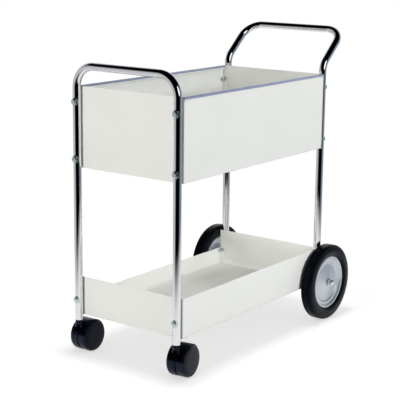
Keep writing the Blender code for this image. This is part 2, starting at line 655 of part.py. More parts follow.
def add_hood(name, swivel, boss_top):
    """The caster's body: an arched hood with a boss for the stem and a web between the two wheels."""
    pocket = CASTER_RADIUS + CASTER_POCKET_GAP
    outer = pocket + HOOD_SHELL
    hood = add_piece(name, rod_mesh(name, outer, HOOD_WIDTH, CASTER_STEPS, "X"), BLACK_PLASTIC)
    hood.parent = swivel
    hood.location = (0, CASTER_TRAIL, CASTER_RADIUS)

    boss_length = boss_top - CASTER_RADIUS
    boss = rod_mesh(name + "_boss", HOOD_BOSS_DIAMETER / 2, boss_length, HUB_STEPS)
    combine(hood, cutter(name + "_boss", boss, (0, -CASTER_TRAIL, boss_length / 2), parent=hood), "UNION")
    wheels = rod_mesh(name + "_pocket", pocket, HOOD_WIDTH + OVERRUN, CASTER_STEPS, "X")
    combine(hood, cutter(name + "_pocket", wheels, parent=hood))
    below = (HOOD_WIDTH + OVERRUN, 2 * (outer + OVERRUN), 2 * outer)
    combine(hood, cutter(name + "_skirt", box_mesh(name + "_skirt", below),
                         (0, 0, HOOD_SKIRT_RISE - outer), parent=hood))

    web = cutter(name + "_web", rod_mesh(name + "_web", pocket + HOOD_SHELL / 2, CASTER_WEB,
                                         CASTER_STEPS, "X"), parent=hood)
    combine(web, cutter(name + "_web_end", box_mesh(name + "_web_end", below),
                        (0, 0, -HOOD_WEB_DROP - outer), parent=hood))
    combine(hood, web, "UNION")

    stem_bore = rod_mesh(name + "_stem_bore", STEM_DIAMETER / 2 + FIT, 2 * (STEM_IN_HOOD + FIT), SMALL_STEPS)
    combine(hood, cutter(name + "_stem_bore", stem_bore, (0, -CASTER_TRAIL, boss_length), parent=hood))
    axle_bore = rod_mesh(name + "_axle_bore", CASTER_AXLE_DIAMETER / 2 + FIT, HOOD_WIDTH, SMALL_STEPS, "X")
    combine(hood, cutter(name + "_axle_bore", axle_bore, parent=hood))


def add_caster(label, side, turn):
    """One swivelling twin-wheel caster under a front leg."""
    swivel = bpy.data.objects.new(f"caster_swivel_{label}", None)
    collection("Mail cart").objects.link(swivel)
    swivel.location = (side * LEG_X, FRONT_Y, 0)
    swivel.rotation_euler = Euler((0, 0, turn))

    flange_top = LEG_BOTTOM_HEIGHT - FIT
    collar_top = flange_top - SOCKET_FLANGE - FIT
    boss_top = collar_top - STEM_COLLAR - FIT
    sleeve = TUBE_RADIUS - TUBE_WALL - FIT
    bore = STEM_DIAMETER / 2 + FIT
    socket = turned(f"caster_socket_{label}",
                    [(bore, SOCKET_LENGTH), (sleeve, SOCKET_LENGTH), (sleeve, 0), (TUBE_RADIUS, 0),
                     (TUBE_RADIUS, -SOCKET_FLANGE), (bore, -SOCKET_FLANGE)],
                    HUB_STEPS, BLACK_PLASTIC, closed=True)
    socket.location = (side * LEG_X, FRONT_Y, flange_top)

    stem_radius = STEM_DIAMETER / 2
    stem = turned(f"caster_stem_{label}",
                  [(0, STEM_IN_LEG), (stem_radius - FIT, STEM_IN_LEG),
                   (stem_radius, STEM_IN_LEG - STEM_COLLAR), (stem_radius, 0),
                   (STEM_COLLAR_DIAMETER / 2, 0), (STEM_COLLAR_DIAMETER / 2, -STEM_COLLAR),
                   (stem_radius, -STEM_COLLAR), (stem_radius, -STEM_COLLAR - STEM_IN_HOOD),
                   (0, -STEM_COLLAR - STEM_IN_HOOD)],
                  SMALL_STEPS, ZINC)
    stem.location = (side * LEG_X, FRONT_Y, collar_top)

    add_hood(f"caster_hood_{label}", swivel, boss_top)

    bore = CASTER_AXLE_DIAMETER / 2 + FIT
    face = CASTER_WIDTH / 2
    inner = CASTER_WEB / 2 + FIT
    axle_end = face - CASTER_SHOULDER
    axle = add_piece(f"caster_axle_{label}",
                     rod_mesh(f"caster_axle_{label}", CASTER_AXLE_DIAMETER / 2, 2 * axle_end,
                              SMALL_STEPS, "X"), ZINC)
    axle.parent = swivel
    axle.location = (0, CASTER_TRAIL, CASTER_RADIUS)

    shoulder = [(CASTER_RADIUS - CASTER_SHOULDER * (1 - math.sin(turn)),
                 face - CASTER_FACE_DOME - CASTER_SHOULDER * (1 - math.cos(turn)))
                for turn in quarter_turn(SHOULDER_STEPS)]
    outline = ([(0, face), (CASTER_RADIUS * FACE_MIDDLE_SHARE, face - CASTER_FACE_DOME * FACE_FALL_SHARE),
                (CASTER_RADIUS - CASTER_SHOULDER - CASTER_FACE_MARGIN, face - CASTER_FACE_DOME)] + shoulder
               + [(CASTER_RADIUS, inner + CASTER_FACE_DOME), (CASTER_RADIUS - CASTER_FACE_DOME, inner),
                  (bore, inner), (bore, axle_end + FIT), (0, axle_end + FIT)])
    for wheel_side, facing in (("left", -1), ("right", 1)):
        wheel = turned(f"caster_wheel_{label}_{wheel_side}", outline, CASTER_STEPS, BLACK_PLASTIC)
        wheel.parent = swivel
        wheel.location = (0, CASTER_TRAIL, CASTER_RADIUS)
        wheel.rotation_euler = Euler((0, facing * math.pi / 2, 0))


def settle_meshes():
    """Gives each piece its finished mesh, shaded smooth with crisp folds and rims."""
    bpy.context.view_layer.update()
    ready = bpy.context.evaluated_depsgraph_get()
    for piece in [thing for thing in collection("Mail cart").objects if thing.type == "MESH"]:
        mesh = bpy.data.meshes.new_from_object(piece.evaluated_get(ready))
        mesh.shade_smooth()
        mesh.set_sharp_from_angle(angle=SHARP_ANGLE)
        piece["finished_mesh"] = mesh.name
    for piece in [thing for thing in collection("Mail cart").objects if thing.type == "MESH"]:
        piece.modifiers.clear()
        piece.data = bpy.data.meshes[piece["finished_mesh"]]
        del piece["finished_mesh"]


def main():
    """Builds the whole cart."""
    for thing in list(bpy.data.objects):
        bpy.data.objects.remove(thing)
    add_front_frame()
    add_rear_frame()
    add_upper_basket()
    add_lower_basket()
    add_fasteners()
    add_axle()
    add_rear_wheel("left", -1)
    add_rear_wheel("right", 1)
    add_caster("left", -1, LEFT_CASTER_TURN)
    add_caster("right", 1, RIGHT_CASTER_TURN)
    settle_meshes()


main()
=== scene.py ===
"""Looks of the two-basket mail cart: fine meshes, finishes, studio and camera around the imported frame."""

from __future__ import annotations

import logging
import math
from dataclasses import dataclass
from enum import Enum

import bmesh
import bpy
from bmesh.types import BMEdge, BMesh, BMFace, BMVert
from bpy.types import Material, Node, NodeSocket, NodeTree, Object, Scene
from mathutils import Matrix, Vector

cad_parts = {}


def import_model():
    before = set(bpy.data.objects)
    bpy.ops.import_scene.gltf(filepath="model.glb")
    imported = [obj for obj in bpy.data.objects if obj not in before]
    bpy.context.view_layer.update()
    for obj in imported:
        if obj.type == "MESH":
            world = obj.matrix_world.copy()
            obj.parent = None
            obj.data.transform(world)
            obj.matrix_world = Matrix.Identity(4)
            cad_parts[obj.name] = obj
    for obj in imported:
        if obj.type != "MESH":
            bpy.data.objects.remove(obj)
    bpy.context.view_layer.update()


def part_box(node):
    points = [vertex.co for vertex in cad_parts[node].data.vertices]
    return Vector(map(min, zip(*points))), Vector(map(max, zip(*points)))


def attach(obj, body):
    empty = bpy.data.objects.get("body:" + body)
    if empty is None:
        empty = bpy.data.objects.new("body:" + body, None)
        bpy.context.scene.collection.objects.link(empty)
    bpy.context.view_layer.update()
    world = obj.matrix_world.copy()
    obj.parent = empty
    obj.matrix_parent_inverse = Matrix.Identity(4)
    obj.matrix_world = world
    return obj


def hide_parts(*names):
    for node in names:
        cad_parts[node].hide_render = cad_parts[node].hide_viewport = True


LOG = logging.getLogger("mail_cart")

Triple = tuple[float, float, float]
Rows = tuple[tuple[float, ...], ...]
Outline = list[tuple[float, float]]

MM = 0.001
MERGE = 0.01 * MM
HALF = 0.5
# A face looks along an axis when that part of its normal is past this.
SQUARE = 0.999
# Two fillets on one edge of an outline stay apart, and a corner flatter than this many radians gets none.
NEARLY_HALF = 0.49
STRAIGHT = 0.01
# A noise is rarely outside these.
NOISE_LOW = 0.3
NOISE_HIGH = 0.7
QUARTER_TURN = math.pi / 2
FULL_TURN = 2 * math.pi
UP = Vector((0, 0, 1))
WHITE = (1.0, 1.0, 1.0)
DEGREES_ROUND = 360


class Side(Enum):
    """The cart's two sides, seen from the caster end."""

    LEFT = -1
    RIGHT = 1

    @property
    def word(self) -> str:
        """The side's word in the nodes' names."""
        return self.name.lower()


class End(Enum):
    """The cart's two ends. The value is the Y direction that the end faces."""

    FRONT = -1
    REAR = 1

    @property
    def word(self) -> str:
        """The end's word in the nodes' names."""
        return self.name.lower()


def linear_colour(code: str) -> tuple[float, float, float, float]:
    """Turns an sRGB hex code into a linear colour.

    Args:
        code: Six hex digits.

    Returns:
        Red, green, blue and an alpha of 1.
    """
    channels = [int(code[i:i + 2], 16) / 255 for i in (0, 2, 4)]
    red, green, blue = [c / 12.92 if c <= 0.04045 else ((c + 0.055) / 1.055) ** 2.4 for c in channels]
    return red, green, blue, 1.0


def add_node(tree: NodeTree, kind: str, links: dict | None = None, **settings) -> Node:
    """Adds a node with its settings and links.

    Args:
        tree: The tree that the node joins.
        kind: The node's type.
        links: For each input, by name or number, a value, a socket to link from, or a node whose first
            output is linked.
        **settings: Properties of the node.

    Returns:
        The new node.
    """
    node = tree.nodes.new(kind)
    for name, value in settings.items():
        setattr(node, name, value)
    for key, value in (links or {}).items():
        if isinstance(value, Node):
            value = value.outputs[0]
        if isinstance(value, NodeSocket):
            tree.links.new(value, node.inputs[key])
        else:
            node.inputs[key].default_value = value
    return node


@dataclass(frozen=True)
class Look:
    """A material in the making: its nodes, and the patterns that a finish draws with them."""

    tree: NodeTree
    shader: Node

    def noise(self, size_mm: float, detail: float,
              stretch: Triple = (1.0, 1.0, 1.0)) -> NodeSocket:
        """Cloudy pattern on the piece's own coordinates, with lumps of a real size.

        Args:
            size_mm: Distance from one lump to the next.
            detail: How much finer noise rides on it.
            stretch: Scale along X, Y and Z.

        Returns:
            A value socket around one half.
        """
        where = add_node(self.tree, "ShaderNodeTexCoord")
        placed = add_node(self.tree, "ShaderNodeMapping", {"Vector": where.outputs["Object"],
                                                           "Scale": stretch})
        cloud = add_node(self.tree, "ShaderNodeTexNoise", {"Vector": placed.outputs["Vector"],
                                                           "Scale": 1 / (size_mm * MM), "Detail": detail})
        return cloud.outputs["Fac"]

    def spread(self, value: NodeSocket, low: float, high: float) -> NodeSocket:
        """Maps the middle of a noise to a range.

        Args:
            value: The noise.
            low: Result where the noise is low.
            high: Result where the noise is high.

        Returns:
            The mapped value.
        """
        ranged = add_node(self.tree, "ShaderNodeMapRange", {"Value": value, "From Min": NOISE_LOW,
                                                            "From Max": NOISE_HIGH, "To Min": low,
                                                            "To Max": high})
        return ranged.outputs["Result"]

    def tint(self, value: NodeSocket, colours: tuple[str, str], share: float) -> None:
        """Lets the base colour drift towards a second one.

        Args:
            value: The noise that says where.
            colours: The base colour and the second one.
            share: How much of the second there is at most.
        """
        first, second = (linear_colour(code) for code in colours)
        mixed = add_node(self.tree, "ShaderNodeMix", {0: self.spread(value, 0.0, share), 6: first, 7: second},
                         data_type="RGBA")
        self.tree.links.new(mixed.outputs[2], self.shader.inputs["Base Color"])

    def vary_gloss(self, value: NodeSocket, roughness: float, less: float, more: float) -> None:
        """Lets the roughness vary.

        Args:
            value: The noise that says where.
            roughness: Its middle.
            less: How far it drops at most.
            more: How far it rises at most.
        """
        ranged = self.spread(value, roughness - less, roughness + more)
        self.tree.links.new(ranged, self.shader.inputs["Roughness"])

    def relief(self, height: NodeSocket, depth_mm: float) -> None:
        """Gives the surface a bump of a real depth.

        Args:
            height: The pattern.
            depth_mm: Depth between low and high.
        """
        bump = add_node(self.tree, "ShaderNodeBump", {"Height": height, "Distance": depth_mm * MM,
                                                      "Strength": 1.0})
        self.tree.links.new(bump.outputs["Normal"], self.shader.inputs["Normal"])


@dataclass(frozen=True)
class Finish:
    """A surface finish: what it is made of and how it was made."""

    name: str
    slot: str
    colour: str
    metallic: float
    roughness: float

    def material(self) -> Material:
        """Makes the finish's material, or finds it if it is there already.

        Returns:
            The material.
        """
        found = bpy.data.materials.get(self.name)
        if found:
            return found
        material = bpy.data.materials.new(self.name)
        material.use_nodes = True
        shader = material.node_tree.nodes["Principled BSDF"]
        shader.inputs["Base Color"].default_value = linear_colour(self.colour)
        shader.inputs["Metallic"].default_value = self.metallic
        shader.inputs["Roughness"].default_value = self.roughness
        self.work(Look(material.node_tree, shader))
        return material

    def work(self, look: Look) -> None:
        """Adds what the making of the surface leaves on it.

        Args:
            look: The material in the making.
        """


@dataclass(frozen=True)
class ChromePlate(Finish):
    """Bright chrome on drawn steel: a mirror, wavy from the tube mill and faintly hazed by polishing."""

    wave_mm: float = 22.0
    wave_depth_mm: float = 0.02

    def work(self, look: Look) -> None:
        """Haze in the gloss and waves in the mirror.

        Args:
            look: The material in the making.
        """
        look.vary_gloss(look.noise(self.wave_mm, detail=5.0), self.roughness, less=0.008, more=0.012)
        look.relief(look.noise(self.wave_mm, detail=0.0), self.wave_depth_mm)


@dataclass(frozen=True)
class PowderCoat(Finish):
    """Baked powder coat on sheet steel: satin, with orange peel and a faint drift of shade."""

    shade: str = "D9DAD2"
    shade_mm: float = 160.0
    gloss_mm: float = 32.0
    peel_mm: float = 1.6
    peel_depth_mm: float = 0.035

    def work(self, look: Look) -> None:
        """Drift of shade, uneven gloss and orange peel.

        Args:
            look: The material in the making.
        """
        look.tint(look.noise(self.shade_mm, detail=3.0), (self.colour, self.shade), share=0.28)
        look.vary_gloss(look.noise(self.gloss_mm, detail=4.0), self.roughness, less=0.04, more=0.05)
        look.relief(look.noise(self.peel_mm, detail=1.0), self.peel_depth_mm)


@dataclass(frozen=True)
class DrawnAluminium(Finish):
    """Drawn and anodised aluminium: its oxide scatters light, and lines along the bar spread highlights."""

    # Real drawing lines are some 0.1 mm apart, too fine to show here, so they are drawn coarser.
    line_mm: float = 0.7
    line_depth_mm: float = 0.006
    along_y: Triple = (1.0, 0.01, 1.0)

    def work(self, look: Look) -> None:
        """Lines along Y, in the relief and the gloss.

        Args:
            look: The material in the making.
        """
        lines = look.noise(self.line_mm, detail=3.0, stretch=self.along_y)
        look.vary_gloss(lines, self.roughness, less=0.06, more=0.08)
        look.relief(lines, self.line_depth_mm)


@dataclass(frozen=True)
class CloudyZinc(Finish):
    """Zinc plate with a pale pass: cloudy patches in colour and gloss over the grain of the steel."""

    cloud: str
    cloud_mm: float
    cloud_share: float
    cloud_detail: float
    duller: float
    glossier: float
    # The steel's own grain is finer, and is drawn coarser so that it shows.
    grain_mm: float
    grain_depth_mm: float = 0.004

    def work(self, look: Look) -> None:
        """Cloudy colour and gloss, and fine grain.

        Args:
            look: The material in the making.
        """
        patches = look.noise(self.cloud_mm, self.cloud_detail)
        look.tint(patches, (self.colour, self.cloud), self.cloud_share)
        look.vary_gloss(patches, self.roughness, self.glossier, self.duller)
        look.relief(look.noise(self.grain_mm, detail=2.0), self.grain_depth_mm)


@dataclass(frozen=True)
class MouldedBlack(Finish):
    """Black moulded rubber or nylon: its carbon black gives the gloss a bluish cast."""

    mirror: float
    gleam: str = "98ADEE"

    def work(self, look: Look) -> None:
        """Strength and tone of the gloss.

        Args:
            look: The material in the making.
        """
        look.shader.inputs["Specular IOR Level"].default_value = self.mirror
        look.shader.inputs["Specular Tint"].default_value = linear_colour(self.gleam)


@dataclass(frozen=True)
class MouldedRubber(MouldedBlack):
    """Black tyre rubber: matt and grainy, with a thin grey bloom where it was handled."""

    bloom: str = "0A0B0E"
    bloom_mm: float = 18.0
    # The mould's grain is finer, and is drawn coarser so that it shows.
    grain_mm: float = 0.9
    grain_depth_mm: float = 0.05

    def work(self, look: Look) -> None:
        """Bloom, uneven gloss and grain.

        Args:
            look: The material in the making.
        """
        super().work(look)
        cloud = look.noise(self.bloom_mm, detail=6.0)
        look.tint(cloud, (self.colour, self.bloom), share=0.6)
        look.vary_gloss(cloud, self.roughness, less=0.06, more=0.08)
        look.relief(look.noise(self.grain_mm, detail=3.0), self.grain_depth_mm)


@dataclass(frozen=True)
class MouldedNylon(MouldedBlack):
    """Black moulded nylon: an even skin with a fine spark-eroded grain."""

    # The grain of the mould is some 0.2 mm wide, and is drawn coarser so that it shows.
    grain_mm: float = 0.6
    grain_depth_mm: float = 0.012
    flow_mm: float = 18.0

    def work(self, look: Look) -> None:
        """Grain and slightly uneven gloss.

        Args:
            look: The material in the making.
        """
        super().work(look)
        grain = look.noise(self.grain_mm, detail=2.0)
        look.vary_gloss(look.noise(self.flow_mm, detail=3.0), self.roughness, less=0.03, more=0.05)
        look.relief(grain, self.grain_depth_mm)


CHROME = ChromePlate("bright_chrome_plate", "chrome", "E9EBED", 1.0, 0.02)
COAT = PowderCoat("grey_powder_coat", "painted_sheet", "E6E7E1", 0.0, 0.42)
RAIL_METAL = DrawnAluminium("satin_anodised_aluminium", "satin_rail", "A6AFC8", 0.45, 0.28)
ZINC = CloudyZinc("bright_zinc_plate", "zinc_hardware", "D6E0E0", 1.0, 0.11, cloud="B2C4C4", cloud_mm=5.0,
                  cloud_share=0.7, cloud_detail=4.0, duller=0.10, glossier=0.05, grain_mm=0.6)
DISC_METAL = CloudyZinc("pressed_zinc_steel", "wheel_disc", "CDD3D8", 0.72, 0.36, cloud="BFC5CA",
                        cloud_mm=45.0, cloud_share=0.5, cloud_detail=3.0, duller=0.04, glossier=0.03,
                        grain_mm=0.9)
RUBBER = MouldedRubber("black_tyre_rubber", "tyre", "030405", 0.0, 0.20, mirror=0.15, gleam="9FB2EC")
HOOD_NYLON = MouldedNylon("gloss_black_nylon", "black_plastic", "030304", 0.0, 0.12, mirror=0.35)
WHEEL_NYLON = MouldedNylon("satin_black_nylon", "black_plastic", "07080B", 0.0, 0.20, mirror=0.42)
COVER_NYLON = MouldedNylon("matt_black_nylon", "black_plastic", "050609", 0.0, 0.34, mirror=0.24)


def finished(bm: BMesh, name: str, finish: Finish, body: str, *nodes: str,
             sharp: float = 35.0) -> None:
    """Turns a bmesh into a dressed piece that rides on its body.

    Args:
        bm: The finished shape, in place. It is freed.
        name: The piece's name.
        finish: Its finish.
        body: The body that it rides on.
        *nodes: The nodes that it stands for.
        sharp: Edges that turn more than this many degrees stay crisp.
    """
    mesh = bpy.data.meshes.new(name)
    bm.to_mesh(mesh)
    bm.free()
    mesh.shade_smooth()
    mesh.set_sharp_from_angle(angle=math.radians(sharp))
    mesh.materials.append(finish.material())
    piece = bpy.data.objects.new(name, mesh)
    bpy.context.scene.collection.objects.link(piece)
    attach(piece, body)
    if nodes:
        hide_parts(*nodes)
    LOG.info("%s: %d faces on %s", name, len(mesh.polygons), body)


def tidy(bm: BMesh) -> BMesh:
    """Merges doubles and turns all faces outwards.

    Args:
        bm: A closed shape.

    Returns:
        The same bmesh.
    """
    bmesh.ops.remove_doubles(bm, verts=bm.verts, dist=MERGE)
    bmesh.ops.recalc_face_normals(bm, faces=bm.faces)
    return bm


def node_box(node: str) -> tuple[Vector, Vector]:
    """Lowest and highest corner of a CAD node."""
    low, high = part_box(node)
    return Vector(low), Vector(high)


def only(kind: type, geom: list) -> list:
    """The elements of one kind in an operator's result."""
    return [thing for thing in geom if isinstance(thing, kind)]


def box_between(bm: BMesh, low: Vector, high: Vector) -> list[BMVert]:
    """Adds a plain box.

    Args:
        bm: The shape that it joins.
        low: Its lowest corner.
        high: Its highest corner.

    Returns:
        The box's corners.
    """
    verts = bmesh.ops.create_cube(bm, size=1.0)["verts"]
    bmesh.ops.scale(bm, vec=high - low, verts=verts)
    bmesh.ops.translate(bm, vec=(low + high) / 2, verts=verts)
    return verts


def soften(bm: BMesh, edges: list[BMEdge], radius: float, steps: int = 2) -> None:
    """Rounds edges.

    Args:
        bm: The shape.
        edges: The edges.
        radius: How far the rounding reaches from each edge.
        steps: Facets in it.
    """
    bmesh.ops.bevel(bm, geom=edges, offset=radius, segments=steps, profile=0.5, affect="EDGES",
                    material=-1)


def cut_along(bm: BMesh, place: Vector, across: Vector,
              faces: list[BMFace] | None = None, clear_inner: bool = False) -> None:
    """Cuts faces along a plane.

    Args:
        bm: The shape.
        place: A point of the plane.
        across: The plane's normal.
        faces: The faces to cut, or all of them.
        clear_inner: Whether what lies behind the plane goes.
    """
    geom = bm.verts[:] + bm.edges[:] + bm.faces[:]
    if faces is not None:
        geom = list({vert for face in faces for vert in face.verts}
                    | {edge for face in faces for edge in face.edges} | set(faces))
    bmesh.ops.bisect_plane(bm, geom=geom, dist=MERGE, plane_co=place, plane_no=across,
                           clear_inner=clear_inner)


def dome(radius: float, foot: float, rise: float, steps: int) -> Outline:
    """Outline of a dome, from its top to its brim.

    Args:
        radius: Radius of its brim.
        foot: Height of its brim.
        rise: How far its top stands over the brim.
        steps: Straight pieces in the outline.

    Returns:
        The outline's points.
    """
    return [(radius * math.sin(turn), foot + rise * math.cos(turn))
            for turn in (QUARTER_TURN * step / steps for step in range(steps + 1))]


def in_metres(rows: Rows, out: float = 0.0, rise: float = 0.0) -> list[Triple]:
    """Corners of an outline, turned from millimetres to metres and moved.

    Args:
        rows: For each corner its radius, height and fillet in millimetres.
        out: What is added to the radii.
        rise: What is added to the heights.

    Returns:
        The corners in metres.
    """
    return [(out + radius * MM, rise + height * MM, fillet * MM) for radius, height, fillet in rows]


def filleted(corners: list[Triple], steps: int = 5,
             closed: bool = False) -> Outline:
    """Rounds the corners of an outline.

    Args:
        corners: For each corner its two coordinates and its fillet radius.
        steps: Straight pieces in each fillet.
        closed: Whether the outline joins up.

    Returns:
        The outline's points.
    """
    places = [Vector(corner[:2]) for corner in corners]
    count = len(corners)
    outline: Outline = []
    for index, (place, corner) in enumerate(zip(places, corners)):
        at_end = index in (0, count - 1) and not closed
        if at_end or corner[2] <= 0:
            outline.append(tuple(place))
            continue
        before = places[index - 1] - place
        after = places[(index + 1) % count] - place
        opening = before.angle(after)
        if opening > math.pi - STRAIGHT:
            outline.append(tuple(place))
            continue
        limit = min(before.length, after.length) * NEARLY_HALF
        setback = min(corner[2] / math.tan(opening / 2), limit)
        radius = setback * math.tan(opening / 2)
        bisector = (before.normalized() + after.normalized()).normalized()
        centre = place + bisector * (radius / math.sin(opening / 2))
        start = place + before.normalized() * setback - centre
        end = place + after.normalized() * setback - centre
        sweep = start.angle_signed(end)
        for step in range(steps + 1):
            turned_by = -sweep * step / steps
            spot = centre + Matrix.Rotation(turned_by, 2) @ start
            outline.append((spot.x, spot.y))
    return outline


def lathe(outline: Outline, steps: int, closed: bool = False) -> BMesh:
    """Turns an outline about the Z axis.

    Args:
        outline: Radius and height of each point.
        steps: Facets round the axis.
        closed: Whether the outline is a ring that doesn't touch the axis.

    Returns:
        The turned shape.
    """
    bm = bmesh.new()
    points = [bm.verts.new((radius, 0, height)) for radius, height in outline]
    edges = [bm.edges.new(pair) for pair in zip(points, points[1:])]
    if closed:
        edges.append(bm.edges.new((points[-1], points[0])))
    bmesh.ops.spin(bm, geom=points + edges, cent=(0, 0, 0), axis=(0, 0, 1), angle=FULL_TURN, steps=steps,
                   use_merge=True)
    return tidy(bm)


def put(bm: BMesh, place: Vector, axis: Vector, roll: float = 0.0) -> BMesh:
    """Moves a shape made about Z to its place.

    Args:
        bm: The shape.
        place: Where its origin goes.
        axis: Where its Z axis points.
        roll: Turn about its own axis first.

    Returns:
        The same bmesh.
    """
    turn = axis.to_track_quat("Z", "Y").to_matrix().to_4x4()
    matrix = Matrix.Translation(place) @ turn @ Matrix.Rotation(roll, 4, "Z")
    bmesh.ops.transform(bm, matrix=matrix, verts=bm.verts)
    return bm


def turned(corners: list[Triple], fillet_steps: int, steps: int, place: Vector, axis: Vector,
           closed: bool = False) -> BMesh:
    """Turns an outline, its corners filleted, about an axis through its place."""
    return put(lathe(filleted(corners, fillet_steps, closed), steps, closed), place, axis)


class BentTube:
    """A round tube made like a real one: straight runs and bends, one after the other."""

    def __init__(self, start: Vector, heading: Vector, radius: float, wall: float, sides: int = 40) -> None:
        """Opens the tube.

        Args:
            start: Middle of its first end.
            heading: Where it goes first.
            radius: Its outer radius.
            wall: Its wall thickness.
            sides: Facets round it.
        """
        self.bm = bmesh.new()
        self.at = start.copy()
        self.heading = heading.normalized()
        self.radius = radius
        self.wall = wall
        turn = self.heading.to_track_quat("Z", "Y").to_matrix().to_4x4()
        made = bmesh.ops.create_circle(self.bm, cap_ends=False, segments=sides, radius=radius,
                                       matrix=Matrix.Translation(start) @ turn)
        self.ring = list({edge for vert in made["verts"] for edge in vert.link_edges})
        self.mouth(self.ring, self.at, self.heading)

    def mouth(self, ring: list[BMEdge], centre: Vector, inward: Vector) -> None:
        """Shows the wall's thickness at an open end, and the bore behind it.

        Args:
            ring: The end's edges.
            centre: The end's middle.
            inward: Direction into the tube.
        """
        lip = bmesh.ops.extrude_edge_only(self.bm, edges=ring)["geom"]
        verts = only(BMVert, lip)
        for vert in verts:
            vert.co = centre + (vert.co - centre) * (1 - self.wall / self.radius)
        edges = only(BMEdge, lip)
        bore = bmesh.ops.extrude_edge_only(self.bm, edges=edges)["geom"]
        verts = only(BMVert, bore)
        bmesh.ops.translate(self.bm, vec=inward * self.radius * 4, verts=verts)
        bmesh.ops.contextual_create(self.bm, geom=verts + only(BMEdge, bore))

    def run(self, length: float) -> "BentTube":
        """Goes straight on.

        Args:
            length: How far.

        Returns:
            The tube.
        """
        grown = bmesh.ops.extrude_edge_only(self.bm, edges=self.ring)["geom"]
        verts = only(BMVert, grown)
        bmesh.ops.translate(self.bm, vec=self.heading * length, verts=verts)
        self.ring = only(BMEdge, grown)
        self.at += self.heading * length
        return self

    def bend(self, towards: Vector, radius: float, angle: float, steps: int = 20) -> "BentTube":
        """Bends to one side.

        Args:
            towards: Direction square to the heading.
            radius: Bend radius of the tube's middle.
            angle: How far it turns.
            steps: Facets along the bend.

        Returns:
            The tube.
        """
        centre = self.at + towards * radius
        axis = self.heading.cross(towards)
        verts = list({vert for edge in self.ring for vert in edge.verts})
        last = bmesh.ops.spin(self.bm, geom=verts + self.ring, cent=centre, axis=axis, angle=angle,
                              steps=steps)["geom_last"]
        self.ring = only(BMEdge, last)
        turn = Matrix.Rotation(angle, 3, axis)
        self.at = centre + turn @ (self.at - centre)
        self.heading = turn @ self.heading
        return self

    def close(self) -> BMesh:
        """Ends the tube with an open mouth.

        Returns:
            The finished tube.
        """
        self.mouth(self.ring, self.at, -self.heading)
        return tidy(self.bm)


@dataclass
class TubeFrames:
    """The two bent chrome frames."""

    tube_radius: float = 12.5 * MM
    wall: float = 1.5 * MM
    front_corner: float = 67 * MM
    arm_bend: float = 53 * MM
    handle_corner: float = 61 * MM
    arm_lean: float = math.radians(49)
    arm_start: float = 875 * MM

    def build(self) -> None:
        """Makes both frames."""
        low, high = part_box("front_frame")
        leg_x = high[0] - self.tube_radius
        y = (low[1] + high[1]) / 2
        top = high[2] - self.tube_radius
        rise = top - self.front_corner - low[2]
        hoop = BentTube(Vector((-leg_x, y, low[2])), UP, self.tube_radius, self.wall)
        hoop.run(rise).bend(Vector((1, 0, 0)), self.front_corner, QUARTER_TURN)
        hoop.run(2 * (leg_x - self.front_corner)).bend(Vector((0, 0, -1)), self.front_corner, QUARTER_TURN)
        hoop.run(rise)
        finished(hoop.close(), "front_hoop", CHROME, "cart", "front_frame")

        low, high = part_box("rear_frame")
        y = low[1] + self.tube_radius
        reach = high[1] - self.tube_radius - y
        arm = reach / math.sin(self.arm_lean)
        arm_setback = self.arm_bend * math.tan(self.arm_lean / 2)
        straight = arm - arm_setback - self.handle_corner
        rise = self.arm_start - arm_setback - low[2]
        back = Vector((0, 1, 0))
        hoop = BentTube(Vector((-leg_x, y, low[2])), UP, self.tube_radius, self.wall)
        hoop.run(rise).bend(back, self.arm_bend, self.arm_lean).run(straight)
        hoop.bend(Vector((1, 0, 0)), self.handle_corner, QUARTER_TURN)
        hoop.run(2 * (leg_x - self.handle_corner))
        down = Vector((0, -math.sin(self.arm_lean), -math.cos(self.arm_lean)))
        hoop.bend(down, self.handle_corner, QUARTER_TURN).run(straight)
        outward = Vector((0, math.cos(self.arm_lean), -math.sin(self.arm_lean)))
        hoop.bend(outward, self.arm_bend, self.arm_lean).run(rise)
        finished(hoop.close(), "push_handle_hoop", CHROME, "cart", "rear_frame")


